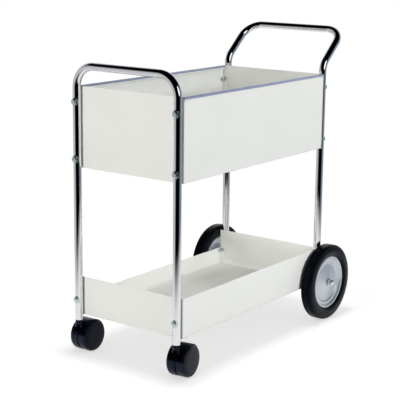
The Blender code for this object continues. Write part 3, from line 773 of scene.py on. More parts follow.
@dataclass
class SheetBasket:
    """One basket: a folded tray between two flat end panels."""

    level: str
    sheet: float = 1.2 * MM
    fold: float = 4 * MM
    flange: float = 20 * MM
    panel_corner: float = 0.0
    edge_rounding: float = 0.35 * MM
    fold_steps: int = 6
    rim_angle: float = 1.3
    corner_angle: float = 1.0
    corner_steps: int = 10

    def panel(self, end: End) -> None:
        """A flat end panel.

        Args:
            end: Which end it closes.
        """
        node = f"{self.level}_{end.word}_panel"
        low, high = node_box(node)
        bm = bmesh.new()
        box_between(bm, low, high)
        if self.panel_corner:
            corners = [edge for edge in bm.edges
                       if all(vert.co.z > (low.z + high.z) / 2 for vert in edge.verts)
                       and abs(edge.verts[0].co.y - edge.verts[1].co.y) > self.sheet / 2]
            soften(bm, corners, self.panel_corner, self.corner_steps)
        rim = [edge for edge in bm.edges
               if edge.calc_face_angle(0) > self.corner_angle
               and abs(edge.verts[0].co.y - edge.verts[1].co.y) < MERGE]
        soften(bm, rim, self.edge_rounding)
        finished(tidy(bm), f"{self.level}_{end.word}_end_sheet", COAT, "cart", node)

    def skin(self, low: Vector, high: Vector) -> BMesh:
        """Outside of the folded tray, open at the top.

        Args:
            low: The tray's lowest corner.
            high: Its highest corner.

        Returns:
            The open skin.
        """
        bm = bmesh.new()
        box_between(bm, low, high)
        bmesh.ops.recalc_face_normals(bm, faces=bm.faces)
        top = [face for face in bm.faces if face.normal.z > HALF]
        bmesh.ops.delete(bm, geom=top, context="FACES_ONLY")
        folds = [edge for edge in bm.edges if not edge.is_boundary]
        soften(bm, folds, self.fold, self.fold_steps)
        return bm

    def open_ends(self, bm: BMesh, low: Vector, high: Vector) -> None:
        """Cuts the end faces away, up to the folded flanges.

        Args:
            bm: The tray's skin.
            low: The tray's lowest corner.
            high: Its highest corner.
        """
        cuts = (
            (Vector((low.x + self.flange, 0, 0)), Vector((1, 0, 0))),
            (Vector((high.x - self.flange, 0, 0)), Vector((1, 0, 0))),
            (Vector((0, 0, low.z + self.flange)), UP),
        )
        for place, across in cuts:
            cut_along(bm, place, across, [face for face in bm.faces if abs(face.normal.y) > SQUARE])
        window = [face for face in bm.faces if abs(face.normal.y) > SQUARE
                  and low.x + self.flange < face.calc_center_median().x < high.x - self.flange
                  and face.calc_center_median().z > low.z + self.flange]
        bmesh.ops.delete(bm, geom=window, context="FACES")

    def thicken(self, bm: BMesh) -> BMesh:
        """Gives the skin its sheet thickness, inwards.

        Args:
            bm: The skin, its faces outwards.

        Returns:
            The sheet.
        """
        bmesh.ops.recalc_face_normals(bm, faces=bm.faces)
        floor = min(bm.faces, key=lambda face: face.calc_center_median().z)
        if floor.normal.z > 0:
            bmesh.ops.reverse_faces(bm, faces=bm.faces)
        return self.walled(bm)

    def walled(self, bm: BMesh) -> BMesh:
        """Gives a skin its thickness, inwards, and softens its rims.

        Args:
            bm: The skin, its faces outwards.

        Returns:
            The sheet.
        """
        bmesh.ops.solidify(bm, geom=bm.faces[:], thickness=self.sheet)
        rim = [edge for edge in bm.edges if edge.is_manifold and edge.calc_face_angle(0) > self.rim_angle]
        soften(bm, rim, self.edge_rounding)
        return bm


@dataclass
class UpperBasket(SheetBasket):
    """The deep basket, its sides turned in under two metal rails."""

    level: str = "upper"
    panel_corner: float = 14 * MM
    rail_width: float = 12 * MM
    rail_height: float = 12 * MM
    rail_edge: float = 4 * MM
    rail_steps: int = 8
    hem: float = 5.2 * MM
    hem_sheet: float = 1.7 * MM
    hem_chamfer: float = 1.4 * MM
    hem_inset: float = 0.2 * MM
    gap: float = 0.3 * MM

    def build(self) -> None:
        """Makes the tray, the end panels and the rails."""
        for end in End:
            self.panel(end)
        low, high = node_box("upper_tray")
        lip_fold = self.rail_edge - self.sheet - self.gap
        skin = self.skin(low, Vector((high.x, high.y, high.z - lip_fold)))
        self.open_ends(skin, low, high)
        self.lower_corners(skin, low, high)
        self.turn_lips(skin, high, lip_fold)
        finished(self.thicken(skin), "upper_folded_tray", COAT, "cart", "upper_tray")
        for side in Side:
            self.rail(side)

    def lower_corners(self, bm: BMesh, low: Vector, high: Vector) -> None:
        """Cuts the corners down where the rails pass over the end flanges.

        Args:
            bm: The tray's skin.
            low: The tray's lowest corner.
            high: Its highest corner.
        """
        level = high.z - self.rail_height
        cut_along(bm, (0, 0, level), (0, 0, 1))
        ends = (low.y + self.fold, high.y - self.fold)
        spare = [face for face in bm.faces if face.calc_center_median().z > level
                 and not ends[0] < face.calc_center_median().y < ends[1]]
        bmesh.ops.delete(bm, geom=spare, context="FACES")

    def turn_lips(self, bm: BMesh, high: Vector, radius: float) -> None:
        """Turns the side walls' top edges in.

        Args:
            bm: The tray's skin.
            high: The tray's highest corner.
            radius: Outer radius of the turn.
        """
        for side in Side:
            wall = side.value * high.x
            rim = [edge for edge in bm.edges
                   if all(vert.co.z > high.z - radius - MERGE and abs(vert.co.x - wall) < MERGE
                          for vert in edge.verts)]
            verts = list({vert for edge in rim for vert in edge.verts})
            last = bmesh.ops.spin(bm, geom=verts + rim,
                                  cent=(wall - side.value * radius, 0, high.z - radius),
                                  axis=(0, -side.value, 0), angle=QUARTER_TURN,
                                  steps=self.fold_steps)["geom_last"]
            edges = only(BMEdge, last)
            grown = bmesh.ops.extrude_edge_only(bm, edges=edges)["geom"]
            reach = self.rail_width - self.sheet - self.gap - self.rail_edge - radius
            bmesh.ops.translate(bm, vec=(-side.value * reach, 0, 0),
                                verts=only(BMVert, grown))
        bmesh.ops.remove_doubles(bm, verts=bm.verts, dist=MERGE)

    def rail(self, side: Side) -> None:
        """A metal cap over one side's painted hem.

        Args:
            side: Which side.
        """
        node = f"{side.word}_file_rail"
        low, high = node_box(node)
        bm = bmesh.new()
        box_between(bm, low, high)
        bmesh.ops.recalc_face_normals(bm, faces=bm.faces)
        spare = [face for face in bm.faces if face.normal.z < -HALF or abs(face.normal.y) > HALF]
        bmesh.ops.delete(bm, geom=spare, context="FACES_ONLY")
        folds = [edge for edge in bm.edges if not edge.is_boundary]
        soften(bm, folds, self.rail_edge, self.rail_steps)
        cut_along(bm, (0, 0, low.z + self.hem), (0, 0, 1), clear_inner=True)
        finished(self.walled(bm), f"{side.word}_hanging_rail", RAIL_METAL, "cart", node)

        bm = bmesh.new()
        low += Vector((self.hem_inset, self.gap, 0))
        high = Vector((high.x - self.hem_inset, high.y - self.gap, low.z + self.hem - self.gap))
        lower_edges = []
        for wall, inwards in ((low.x, 1), (high.x, -1)):
            inner = wall + inwards * self.hem_sheet
            strip = box_between(bm, Vector((min(wall, inner), low.y, low.z)),
                                Vector((max(wall, inner), high.y, high.z)))
            lower_edges += [edge for edge in {edge for vert in strip for edge in vert.link_edges}
                            if all(vert.co.z < low.z + MERGE and abs(vert.co.x - wall) < MERGE
                                   for vert in edge.verts)]
        soften(bm, lower_edges, self.hem_chamfer, 1)
        finished(bm, f"{side.word}_wall_hem", COAT, "cart", node)



@dataclass
class LowerBasket(SheetBasket):
    """The shallow basket, cut down on its left side."""

    level: str = "lower"
    low_side: float = 58.5 * MM

    def build(self) -> None:
        """Makes the tray and the end panels."""
        for end in End:
            self.panel(end)
        low, high = node_box("lower_tray")
        skin = self.skin(low, high)
        self.open_ends(skin, low, high)
        level = low.z + self.low_side
        left = [face for face in skin.faces if face.calc_center_median().x < low.x + self.flange]
        cut_along(skin, (0, 0, level), (0, 0, 1), left)
        spare = [face for face in skin.faces if face.calc_center_median().z > level
                 and face.calc_center_median().x < low.x + self.flange]
        bmesh.ops.delete(skin, geom=spare, context="FACES")
        finished(self.thicken(skin), "lower_folded_tray", COAT, "cart", "lower_tray")


@dataclass
class Fasteners:
    """Slotted screws through the legs on saddle washers, and cap nuts inside the baskets."""

    slot_width: float = 1.6 * MM
    slot_depth: float = 1.2 * MM
    head_height: float = 4 * MM
    head_foot: float = 1.2 * MM
    head_radius: float = 9.6 * MM
    shank: float = 4 * MM
    rim: float = 0.8 * MM
    saddle_width: float = 21.5 * MM
    saddle_height: float = 26.0 * MM
    saddle_sheet: float = 1.3 * MM
    tube_radius: float = 12.5 * MM
    saddle_rings: int = 10
    saddle_steps: int = 64
    nut_height: float = 6.5 * MM
    nut_chamfer: float = 0.35 * MM
    dome_radius: float = 6.1 * MM
    dome_steps: int = 14
    nut_steps: int = 12
    steps: int = 48
    head_fillet: float = 0.3 * MM
    tip_fillet: float = 0.4 * MM
    saddle_fillet: float = 0.6 * MM
    saddle_foot_fillet: float = 0.2 * MM
    slot_turns: tuple[float, ...] = (0.12, -0.20, 0.33, -0.08, 0.25, -0.30,
                                     0.05, 0.18, -0.15, 0.28, -0.24, 0.10)

    def build(self) -> None:
        """Makes all twelve of each."""
        names = [(end, side, level) for end in End for side in Side for level in ("upper", "middle", "lower")]
        for (end, side, level), turn in zip(names, self.slot_turns):
            label = f"{end.word}_{side.word}_{level}"
            self.screw(label, end, turn)
            self.saddle(label, end)
            self.nut(label, end, turn)

    def seat(self, label: str, end: End) -> Vector:
        """Middle of the underside of a screw's head, where it would touch the leg.

        Args:
            label: The screw's place, as in its node's name.
            end: Which end of the cart it faces.

        Returns:
            The point.
        """
        low, high = node_box(f"screw_{label}")
        y = low.y + self.head_height if end is End.FRONT else high.y - self.head_height
        return Vector(((low.x + high.x) / 2, y, (low.z + high.z) / 2))

    def screw(self, label: str, end: End, turn: float) -> None:
        """One domed screw head with its slot, and its shank.

        Args:
            label: The screw's place, as in its node's name.
            end: Which end of the cart it faces.
            turn: How far the slot is off level.
        """
        low, high = node_box(f"screw_{label}")
        tip = self.head_height - (high.y - low.y)
        brim = self.head_foot + self.rim
        under = filleted([(self.head_radius, brim, 0), (self.head_radius, self.head_foot, self.head_fillet),
                          (self.shank, self.head_foot, 0), (self.shank, tip, self.tip_fillet),
                          (0, tip, 0)], 2)
        over = dome(self.head_radius, brim, self.head_height - brim, self.dome_steps)
        bm = lathe(over + under[1:], self.steps)
        self.cut_slot(bm)
        put(bm, self.seat(label, end), Vector((0, end.value, 0)), turn)
        finished(bm, f"slotted_screw_{label}", ZINC, "cart", f"screw_{label}")

    def saddle(self, label: str, end: End) -> None:
        """One oval washer, curved to the leg, under a screw's head.

        Args:
            label: The screw's place, as in its node's name.
            end: Which end of the cart it faces.
        """
        half = self.saddle_height / 2
        sheet = self.saddle_sheet
        # Rings at even steps of the radius let the flat washer bend over the tube.
        rings = [(half * ring / self.saddle_rings, sheet, 0) for ring in range(self.saddle_rings - 1)]
        under = [(radius, 0, 0) for radius, _, _ in reversed(rings)]
        rim = [(half, sheet, self.saddle_fillet), (half, 0, self.saddle_foot_fillet)]
        bm = lathe(filleted(rings + rim + under, 3), self.saddle_steps)
        for vert in bm.verts:
            vert.co.y *= self.saddle_width / self.saddle_height
            vert.co.z += math.sqrt(self.tube_radius ** 2 - vert.co.y ** 2) - self.tube_radius
        put(bm, self.seat(label, end), Vector((0, end.value, 0)), QUARTER_TURN)
        finished(bm, f"saddle_washer_{label}", ZINC, "cart")

    def cut_slot(self, bm: BMesh) -> None:
        """Sinks the driver slot into a head.

        Args:
            bm: The screw, its head up.
        """
        floor = self.head_height - self.slot_depth
        half = self.slot_width / 2
        for place in (-half, half):
            cut_along(bm, (0, place, 0), (0, 1, 0))
        cut_along(bm, (0, 0, floor), (0, 0, 1))
        inside = [face for face in bm.faces
                  if abs(face.calc_center_median().y) < half and face.calc_center_median().z > floor]
        bmesh.ops.delete(bm, geom=inside, context="FACES")
        rim = [edge for edge in bm.edges if edge.is_boundary]
        walls = bmesh.ops.extrude_edge_only(bm, edges=rim)["geom"]
        for vert in only(BMVert, walls):
            vert.co.z = floor
        bmesh.ops.remove_doubles(bm, verts=bm.verts, dist=MERGE)
        bmesh.ops.dissolve_degenerate(bm, dist=MERGE, edges=bm.edges)
        rim = [edge for edge in bm.edges if edge.is_boundary]
        bmesh.ops.edgeloop_fill(bm, edges=rim)
        bmesh.ops.recalc_face_normals(bm, faces=bm.faces)

    def nut(self, label: str, end: End, turn: float) -> None:
        """One cap nut: a chamfered hexagon under a dome.

        Args:
            label: The nut's place, as in its node's name.
            end: Which end of the cart it belongs to.
            turn: How far it is turned.
        """
        low, high = node_box(f"nut_{label}")
        centre = (low + high) / 2
        corner = (high.z - low.z) / 2
        bm = bmesh.new()
        bmesh.ops.create_cone(bm, cap_ends=True, segments=6, radius1=corner, radius2=corner,
                              depth=self.nut_height)
        bmesh.ops.translate(bm, vec=(0, 0, self.nut_height / 2), verts=bm.verts)
        soften(bm, bm.edges[:], self.nut_chamfer, 3)
        rise = (high.y - low.y) - self.nut_height
        foot = self.nut_height * HALF
        over = dome(self.dome_radius, self.nut_height, rise, self.nut_steps)
        cap = lathe(over + [(self.dome_radius, foot), (0, foot)], self.steps)
        mesh = bpy.data.meshes.new("nut_dome")
        cap.to_mesh(mesh)
        cap.free()
        bm.from_mesh(mesh)
        bpy.data.meshes.remove(mesh)
        base_y = low.y if end is End.FRONT else high.y
        put(bm, Vector((centre.x, base_y, centre.z)), Vector((0, -end.value, 0)), turn)
        finished(bm, f"cap_nut_{label}", ZINC, "cart", f"nut_{label}")


@dataclass
class RearWheel:
    """One rear wheel: tyre, pressed discs, hub, washer and axle cap.

    The tables hold radius, distance from the wheel's middle plane and fillet of each corner in millimetres.
    """

    side: Side
    radius: float = 130 * MM
    bead_radius: float = 90.1 * MM
    sheet: float = 1.5 * MM
    bore: float = 6.65 * MM
    steps: int = 128
    ring_steps: int = 64
    cap_steps: int = 16
    crisp: float = 50.0
    hub_rounding: float = 0.5 * MM
    washer_rounding: float = 0.25 * MM
    # Radii over the bead.
    wall_mm: Rows = (
        (-3.9, 11.1, 0.5), (0, 12.6, 0), (0, 14.6, 0.4), (1.8, 17.0, 1.5), (5.0, 18.6, 1.0), (6.2, 18.4, 0.6),
        (8.5, 20.6, 4), (18, 21.7, 14))
    # Radii over the tread: the shoulder's step, then two grooves.
    tread_mm: Rows = (
        (-8.6, 20.3, 3), (-7.4, 19.2, 0.5), (-6.6, 19.6, 0.6), (-2.6, 18.2, 2.2), (-0.9, 15.0, 2),
        (-0.2, 13.7, 0.4), (-1.7, 13.115, 0.3), (-1.7, 11.685, 0.3), (0, 11.1, 0.4),
        (0, 7.5, 0.4), (-1.7, 6.915, 0.3), (-1.7, 5.485, 0.3), (0, 4.9, 0.4))
    rim_mm: Rows = (
        (89.8, 13.6, 0), (89.8, 15.1, 1), (87.6, 16.0, 1.6), (83.8, 15.6, 2), (79.8, 9.2, 2), (71.0, 8.7, 2))
    dish_mm: Rows = ((66.4, 0, 2), (60.5, 0, 6))
    cone_mm: Rows = ((14.0, 15.4, 1), (11.55, 16.0, 0))
    outer_dish: float = 4.15 * MM
    inner_dish: float = -0.85 * MM
    cap_radius: float = 10.4 * MM
    cap_straight: float = 7 * MM
    cap_foot_mm: Rows = ((11.2, 1.7, 0.6),)
    cap_flange_mm: Rows = ((0, 1.6, 0.6), (0, 0, 0.4))
    cap_bore_mm: Rows = ((6.6, 0, 0.3), (6.6, 8.9, 0), (0, 8.9, 0))

    def build(self) -> None:
        """Makes the whole wheel."""
        low, high = node_box(f"rear_tyre_{self.side.word}")
        self.centre = (low + high) / 2
        self.out = Vector((self.side.value, 0, 0))
        self.body = f"rear_wheel_{self.side.word}"
        self.tyre()
        self.disc("outer", self.side.value, self.outer_dish)
        self.disc("inner", -self.side.value, self.inner_dish)
        self.hub()
        self.washer()
        self.cap()

    def tyre(self) -> None:
        """Solid tyre with ribbed tread and round walls."""
        half = in_metres(self.wall_mm, self.bead_radius) + in_metres(self.tread_mm, self.radius)
        whole = half + [(radius, -along, fillet) for radius, along, fillet in reversed(half)]
        bm = turned(whole, 4, self.steps, self.centre, self.out, closed=True)
        finished(bm, f"ribbed_tyre_{self.side.word}", RUBBER, self.body, f"rear_tyre_{self.side.word}")

    def disc(self, which: str, facing: int, flat: float) -> None:
        """One pressed disc: rolled rim, stepped wall and a dish that rises to the hub.

        Args:
            which: Outer or inner.
            facing: X direction that it shows to.
            flat: Height of the lowest part of its dish over the wheel's middle plane.
        """
        front = filleted(in_metres(self.rim_mm) + in_metres(self.dish_mm, rise=flat)
                         + in_metres(self.cone_mm), 4)
        back = [(radius, height - self.sheet) for radius, height in reversed(front)]
        bm = put(lathe(front + back, self.steps, closed=True), self.centre, Vector((facing, 0, 0)))
        finished(bm, f"pressed_{which}_disc_{self.side.word}", DISC_METAL, self.body,
                 f"wheel_{which}_disc_{self.side.word}", sharp=self.crisp)

    def ring(self, node: str, name: str, body: str, rounding: float) -> None:
        """A turned ring on the axle that fills a node's box.

        Args:
            node: The node that it stands for.
            name: The piece's name.
            body: The body that it rides on.
            rounding: Radius of its edges.
        """
        low, high = node_box(node)
        half = (high.x - low.x) / 2
        outer = (high.z - low.z) / 2
        corners = [(self.bore, half, rounding), (outer, half, rounding), (outer, -half, rounding),
                   (self.bore, -half, rounding)]
        bm = turned(corners, 3, self.ring_steps, (low + high) / 2, self.out, closed=True)
        finished(bm, name, ZINC, body, node)

    def hub(self) -> None:
        """The tube that runs on the axle."""
        word = self.side.word
        self.ring(f"wheel_hub_{word}", f"hub_tube_{word}", self.body, self.hub_rounding)

    def washer(self) -> None:
        """The washer between leg and hub."""
        word = self.side.word
        self.ring(f"axle_washer_{word}", f"flat_washer_{word}", "cart", self.washer_rounding)

    def cap(self) -> None:
        """The flanged chrome cap on the axle's end."""
        node = f"axle_cap_{self.side.word}"
        low, high = node_box(node)
        flange = (high.z - low.z) / 2
        height = high.x - low.x
        over = dome(self.cap_radius, self.cap_straight, height - self.cap_straight, self.cap_steps)
        under = filleted([over[-1] + (0,)] + in_metres(self.cap_foot_mm)
                         + in_metres(self.cap_flange_mm, out=flange) + in_metres(self.cap_bore_mm), 3)
        base = low.x if self.side is Side.RIGHT else high.x
        place = Vector((base, (low.y + high.y) / 2, (low.z + high.z) / 2))
        bm = put(lathe(over + under[1:], self.ring_steps), place, self.out)
        finished(bm, f"domed_axle_cap_{self.side.word}", CHROME, "cart", node)


@dataclass
class TwinCaster:
    """One twin-wheel caster with its stem and socket.

    The tables hold radius, height or distance from the middle and fillet of each corner in millimetres.
    """

    side: Side
    pocket_radius: float = 50.9 * MM
    shell: float = 1.6 * MM
    hood_width: float = 51.6 * MM
    hood_rounding: float = 1.2 * MM
    web: float = 3 * MM
    web_inner: float = 5 * MM
    web_rounding: float = 0.3 * MM
    skirt_rise: float = 11.7 * MM
    web_drop: float = 14 * MM
    boss_rise: float = 36 * MM
    collar_gap: float = 0.3 * MM
    right_turn: float = math.radians(7)
    left_turn: float = math.radians(1)
    steps: int = 96
    small_steps: int = 64
    stem_steps: int = 48
    arc_steps: int = 48
    pin_steps: int = 32
    wheel_mm: Rows = (
        (0, 30.6, 0), (43.2, 30.6, 0.3), (43.2, 31.7, 0.5), (47.3, 30.6, 3), (50.3, 25.6, 5), (50.3, 3.4, 1),
        (48.9, 1.8, 0.5), (4.3, 1.8, 0.3), (4.3, 28.2, 0), (0, 28.2, 0))
    cover_mm: Rows = (
        (0, 33.2, 0), (25.15, 32.95, 20), (42, 32.1, 0.7), (42, 30.6, 0), (0, 30.6, 0))
    pin_mm: Rows = ((0, 27.7, 0), (4, 27.7, 0.5), (4, -27.7, 0.5), (0, -27.7, 0))
    boss_top_mm: Rows = ((0, 0, 0), (12, 0, 1.4))
    boss_foot_mm: Rows = ((12, 8, 4), (14.5, 0, 0), (0, 0, 0))
    stem_top_mm: Rows = ((0, 0, 0), (5.5, 0, 1.2))
    collar_mm: Rows = ((5.5, 1.4, 0), (8.5, 1.4, 0.4), (8.5, 0, 0.4), (5.5, 0, 0))
    stem_foot_mm: Rows = ((5.5, 0, 0.5), (0, 0, 0))
    socket_top_mm: Rows = ((5.8, 0, 0.4), (10.7, 0, 0.8))
    socket_foot_mm: Rows = ((10.7, 2, 0), (12.5, 2, 0.5), (12.5, 0, 0.6), (5.8, 0, 0.4))

    def build(self) -> None:
        """Makes the whole caster."""
        turn = self.right_turn if self.side is Side.RIGHT else self.left_turn
        self.axis = Vector((math.cos(turn), math.sin(turn), 0))
        self.ahead = Vector((math.sin(turn), -math.cos(turn), 0))
        low, high = node_box(f"caster_axle_{self.side.word}")
        self.centre = (low + high) / 2
        low, high = node_box(f"caster_stem_{self.side.word}")
        self.pivot = (low + high) / 2
        self.body = f"caster_{self.side.word}"
        for wheel in Side:
            self.wheel(wheel)
        self.hood()
        self.axle()
        self.stem()
        self.socket()

    def wheel(self, which: Side) -> None:
        """One wheel: round shoulder, plain tread and a pressed-in cover.

        Args:
            which: The caster's left or right wheel.
        """
        label = f"{self.side.word}_{which.word}"
        body = f"caster_{label}_wheel"
        outwards = self.axis * which.value
        roller = turned(in_metres(self.wheel_mm), 7, self.steps, self.centre, outwards)
        finished(roller, f"roller_{label}", WHEEL_NYLON, body, f"caster_wheel_{label}")
        cover = turned(in_metres(self.cover_mm), 6, self.steps, self.centre, outwards)
        finished(cover, f"wheel_cover_{label}", COVER_NYLON, body)

    def arc_band(self, inner: float, outer: float, width: float, start: float, stop: float,
                 rounding: float) -> BMesh:
        """A curved band about the wheel's axis.

        Args:
            inner: Its inner radius.
            outer: Its outer radius.
            width: Its width along the axis.
            start: Angle of its front end over level.
            stop: Angle of its back end.
            rounding: Radius of its long edges.

        Returns:
            The band, about the caster's axle.
        """
        half = width / 2
        section = filleted([(inner, -half, rounding / 2), (outer, -half, rounding), (outer, half, rounding),
                            (inner, half, rounding / 2)], 5, closed=True)
        bm = bmesh.new()
        points = [bm.verts.new(self.ahead * radius + self.axis * along) for radius, along in section]
        first = bm.faces.new(points)
        axle = self.ahead.cross(UP)
        lift = Matrix.Rotation(start, 3, axle)
        bmesh.ops.rotate(bm, cent=(0, 0, 0), matrix=lift, verts=bm.verts)
        bmesh.ops.spin(bm, geom=[first] + list(first.edges) + list(first.verts), cent=(0, 0, 0),
                       axis=axle, angle=stop - start, steps=self.arc_steps)
        bmesh.ops.translate(bm, vec=self.centre, verts=bm.verts)
        bmesh.ops.recalc_face_normals(bm, faces=bm.faces)
        return bm

    def hood(self) -> None:
        """Hood over both wheels, web between them and boss for the stem."""
        outer = self.pocket_radius + self.shell
        rise = math.asin(self.skirt_rise / outer)
        band = self.arc_band(self.pocket_radius, outer, self.hood_width, rise, math.pi - rise,
                             self.hood_rounding)
        finished(band, f"caster_hood_{self.side.word}_shell", HOOD_NYLON, self.body,
                 f"caster_hood_{self.side.word}")
        drop = -math.asin(self.web_drop / self.pocket_radius)
        web = self.arc_band(self.web_inner, self.pocket_radius + self.shell / 2, self.web, drop,
                            math.pi - drop, self.web_rounding)
        finished(web, f"caster_web_{self.side.word}", HOOD_NYLON, self.body)
        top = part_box(f"caster_hood_{self.side.word}")[1][2]
        start = self.centre.z + self.boss_rise
        corners = in_metres(self.boss_top_mm, rise=top - start) + in_metres(self.boss_foot_mm)
        boss = turned(corners, 5, self.small_steps, Vector((self.pivot.x, self.pivot.y, start)), UP)
        finished(boss, f"caster_boss_{self.side.word}", HOOD_NYLON, self.body)

    def axle(self) -> None:
        """The pin through both wheels."""
        bm = turned(in_metres(self.pin_mm), 3, self.pin_steps, self.centre, self.axis)
        finished(bm, f"caster_pin_{self.side.word}", ZINC, self.body, f"caster_axle_{self.side.word}")

    def stem(self) -> None:
        """The stem with its collar."""
        node = f"caster_stem_{self.side.word}"
        low, high = node_box(node)
        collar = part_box(f"caster_hood_{self.side.word}")[1][2] + self.collar_gap - low.z
        corners = (in_metres(self.stem_top_mm, rise=high.z - low.z) + in_metres(self.collar_mm, rise=collar)
                   + in_metres(self.stem_foot_mm))
        bm = turned(corners, 3, self.stem_steps, Vector((self.pivot.x, self.pivot.y, low.z)), UP)
        finished(bm, f"grip_stem_{self.side.word}", ZINC, "cart", node)

    def socket(self) -> None:
        """The plastic socket in the leg's end."""
        node = f"caster_socket_{self.side.word}"
        low, high = node_box(node)
        corners = in_metres(self.socket_top_mm, rise=high.z - low.z) + in_metres(self.socket_foot_mm)
        place = Vector((self.pivot.x, self.pivot.y, low.z))
        bm = turned(corners, 3, self.small_steps, place, UP, closed=True)
        finished(bm, f"leg_socket_{self.side.word}", HOOD_NYLON, "cart", node)


@dataclass
class RearAxle:
    """The plain rod through the rear legs."""

    rounding: float = 0.6 * MM
    steps: int = 64

    def build(self) -> None:
        """Makes the rod."""
        low, high = node_box("rear_axle")
        half = (high.x - low.x) / 2
        radius = (high.z - low.z) / 2
        corners = [(0, half, 0), (radius, half, self.rounding), (radius, -half, self.rounding), (0, -half, 0)]
        bm = turned(corners, 3, self.steps, (low + high) / 2, Vector((1, 0, 0)))
        finished(bm, "plain_axle_rod", ZINC, "cart", "rear_axle")


class Lights(Enum):
    """What a lamp is there for."""

    CART = "EXCLUDE"
    FLOOR = "INCLUDE"


@dataclass(frozen=True)
class Softbox:
    """A square lamp behind cloth. Metal mirrors the room instead of it, so that no burnt spot shows."""

    name: str
    at: Triple
    power: float
    tone: str = "FFFFFF"
    width: float = 1.2
    height: float = 1.2
    towards: Triple = (0.0, 0.0, 0.5)
    lights: Lights = Lights.CART

    def hang(self, floor: Object) -> None:
        """Puts the lamp in the scene.

        Args:
            floor: The floor, which lies in the shadow of the one lamp that is there for it.
        """
        data = bpy.data.lights.new(self.name, "AREA")
        data.shape = "RECTANGLE"
        data.size = self.width
        data.size_y = self.height
        data.energy = self.power
        data.color = linear_colour(self.tone)[:3]
        lamp = bpy.data.objects.new(self.name, data)
        lamp.location = self.at
        lamp.rotation_euler = (Vector(self.towards) - Vector(self.at)).to_track_quat("-Z", "Y").to_euler()
        lamp.visible_glossy = False
        bpy.context.scene.collection.objects.link(lamp)
        receivers = bpy.data.collections.new(f"{self.name}_receivers")
        receivers.objects.link(floor)
        receivers.collection_objects[0].light_linking.link_state = self.lights.value
        lamp.light_linking.receiver_collection = receivers


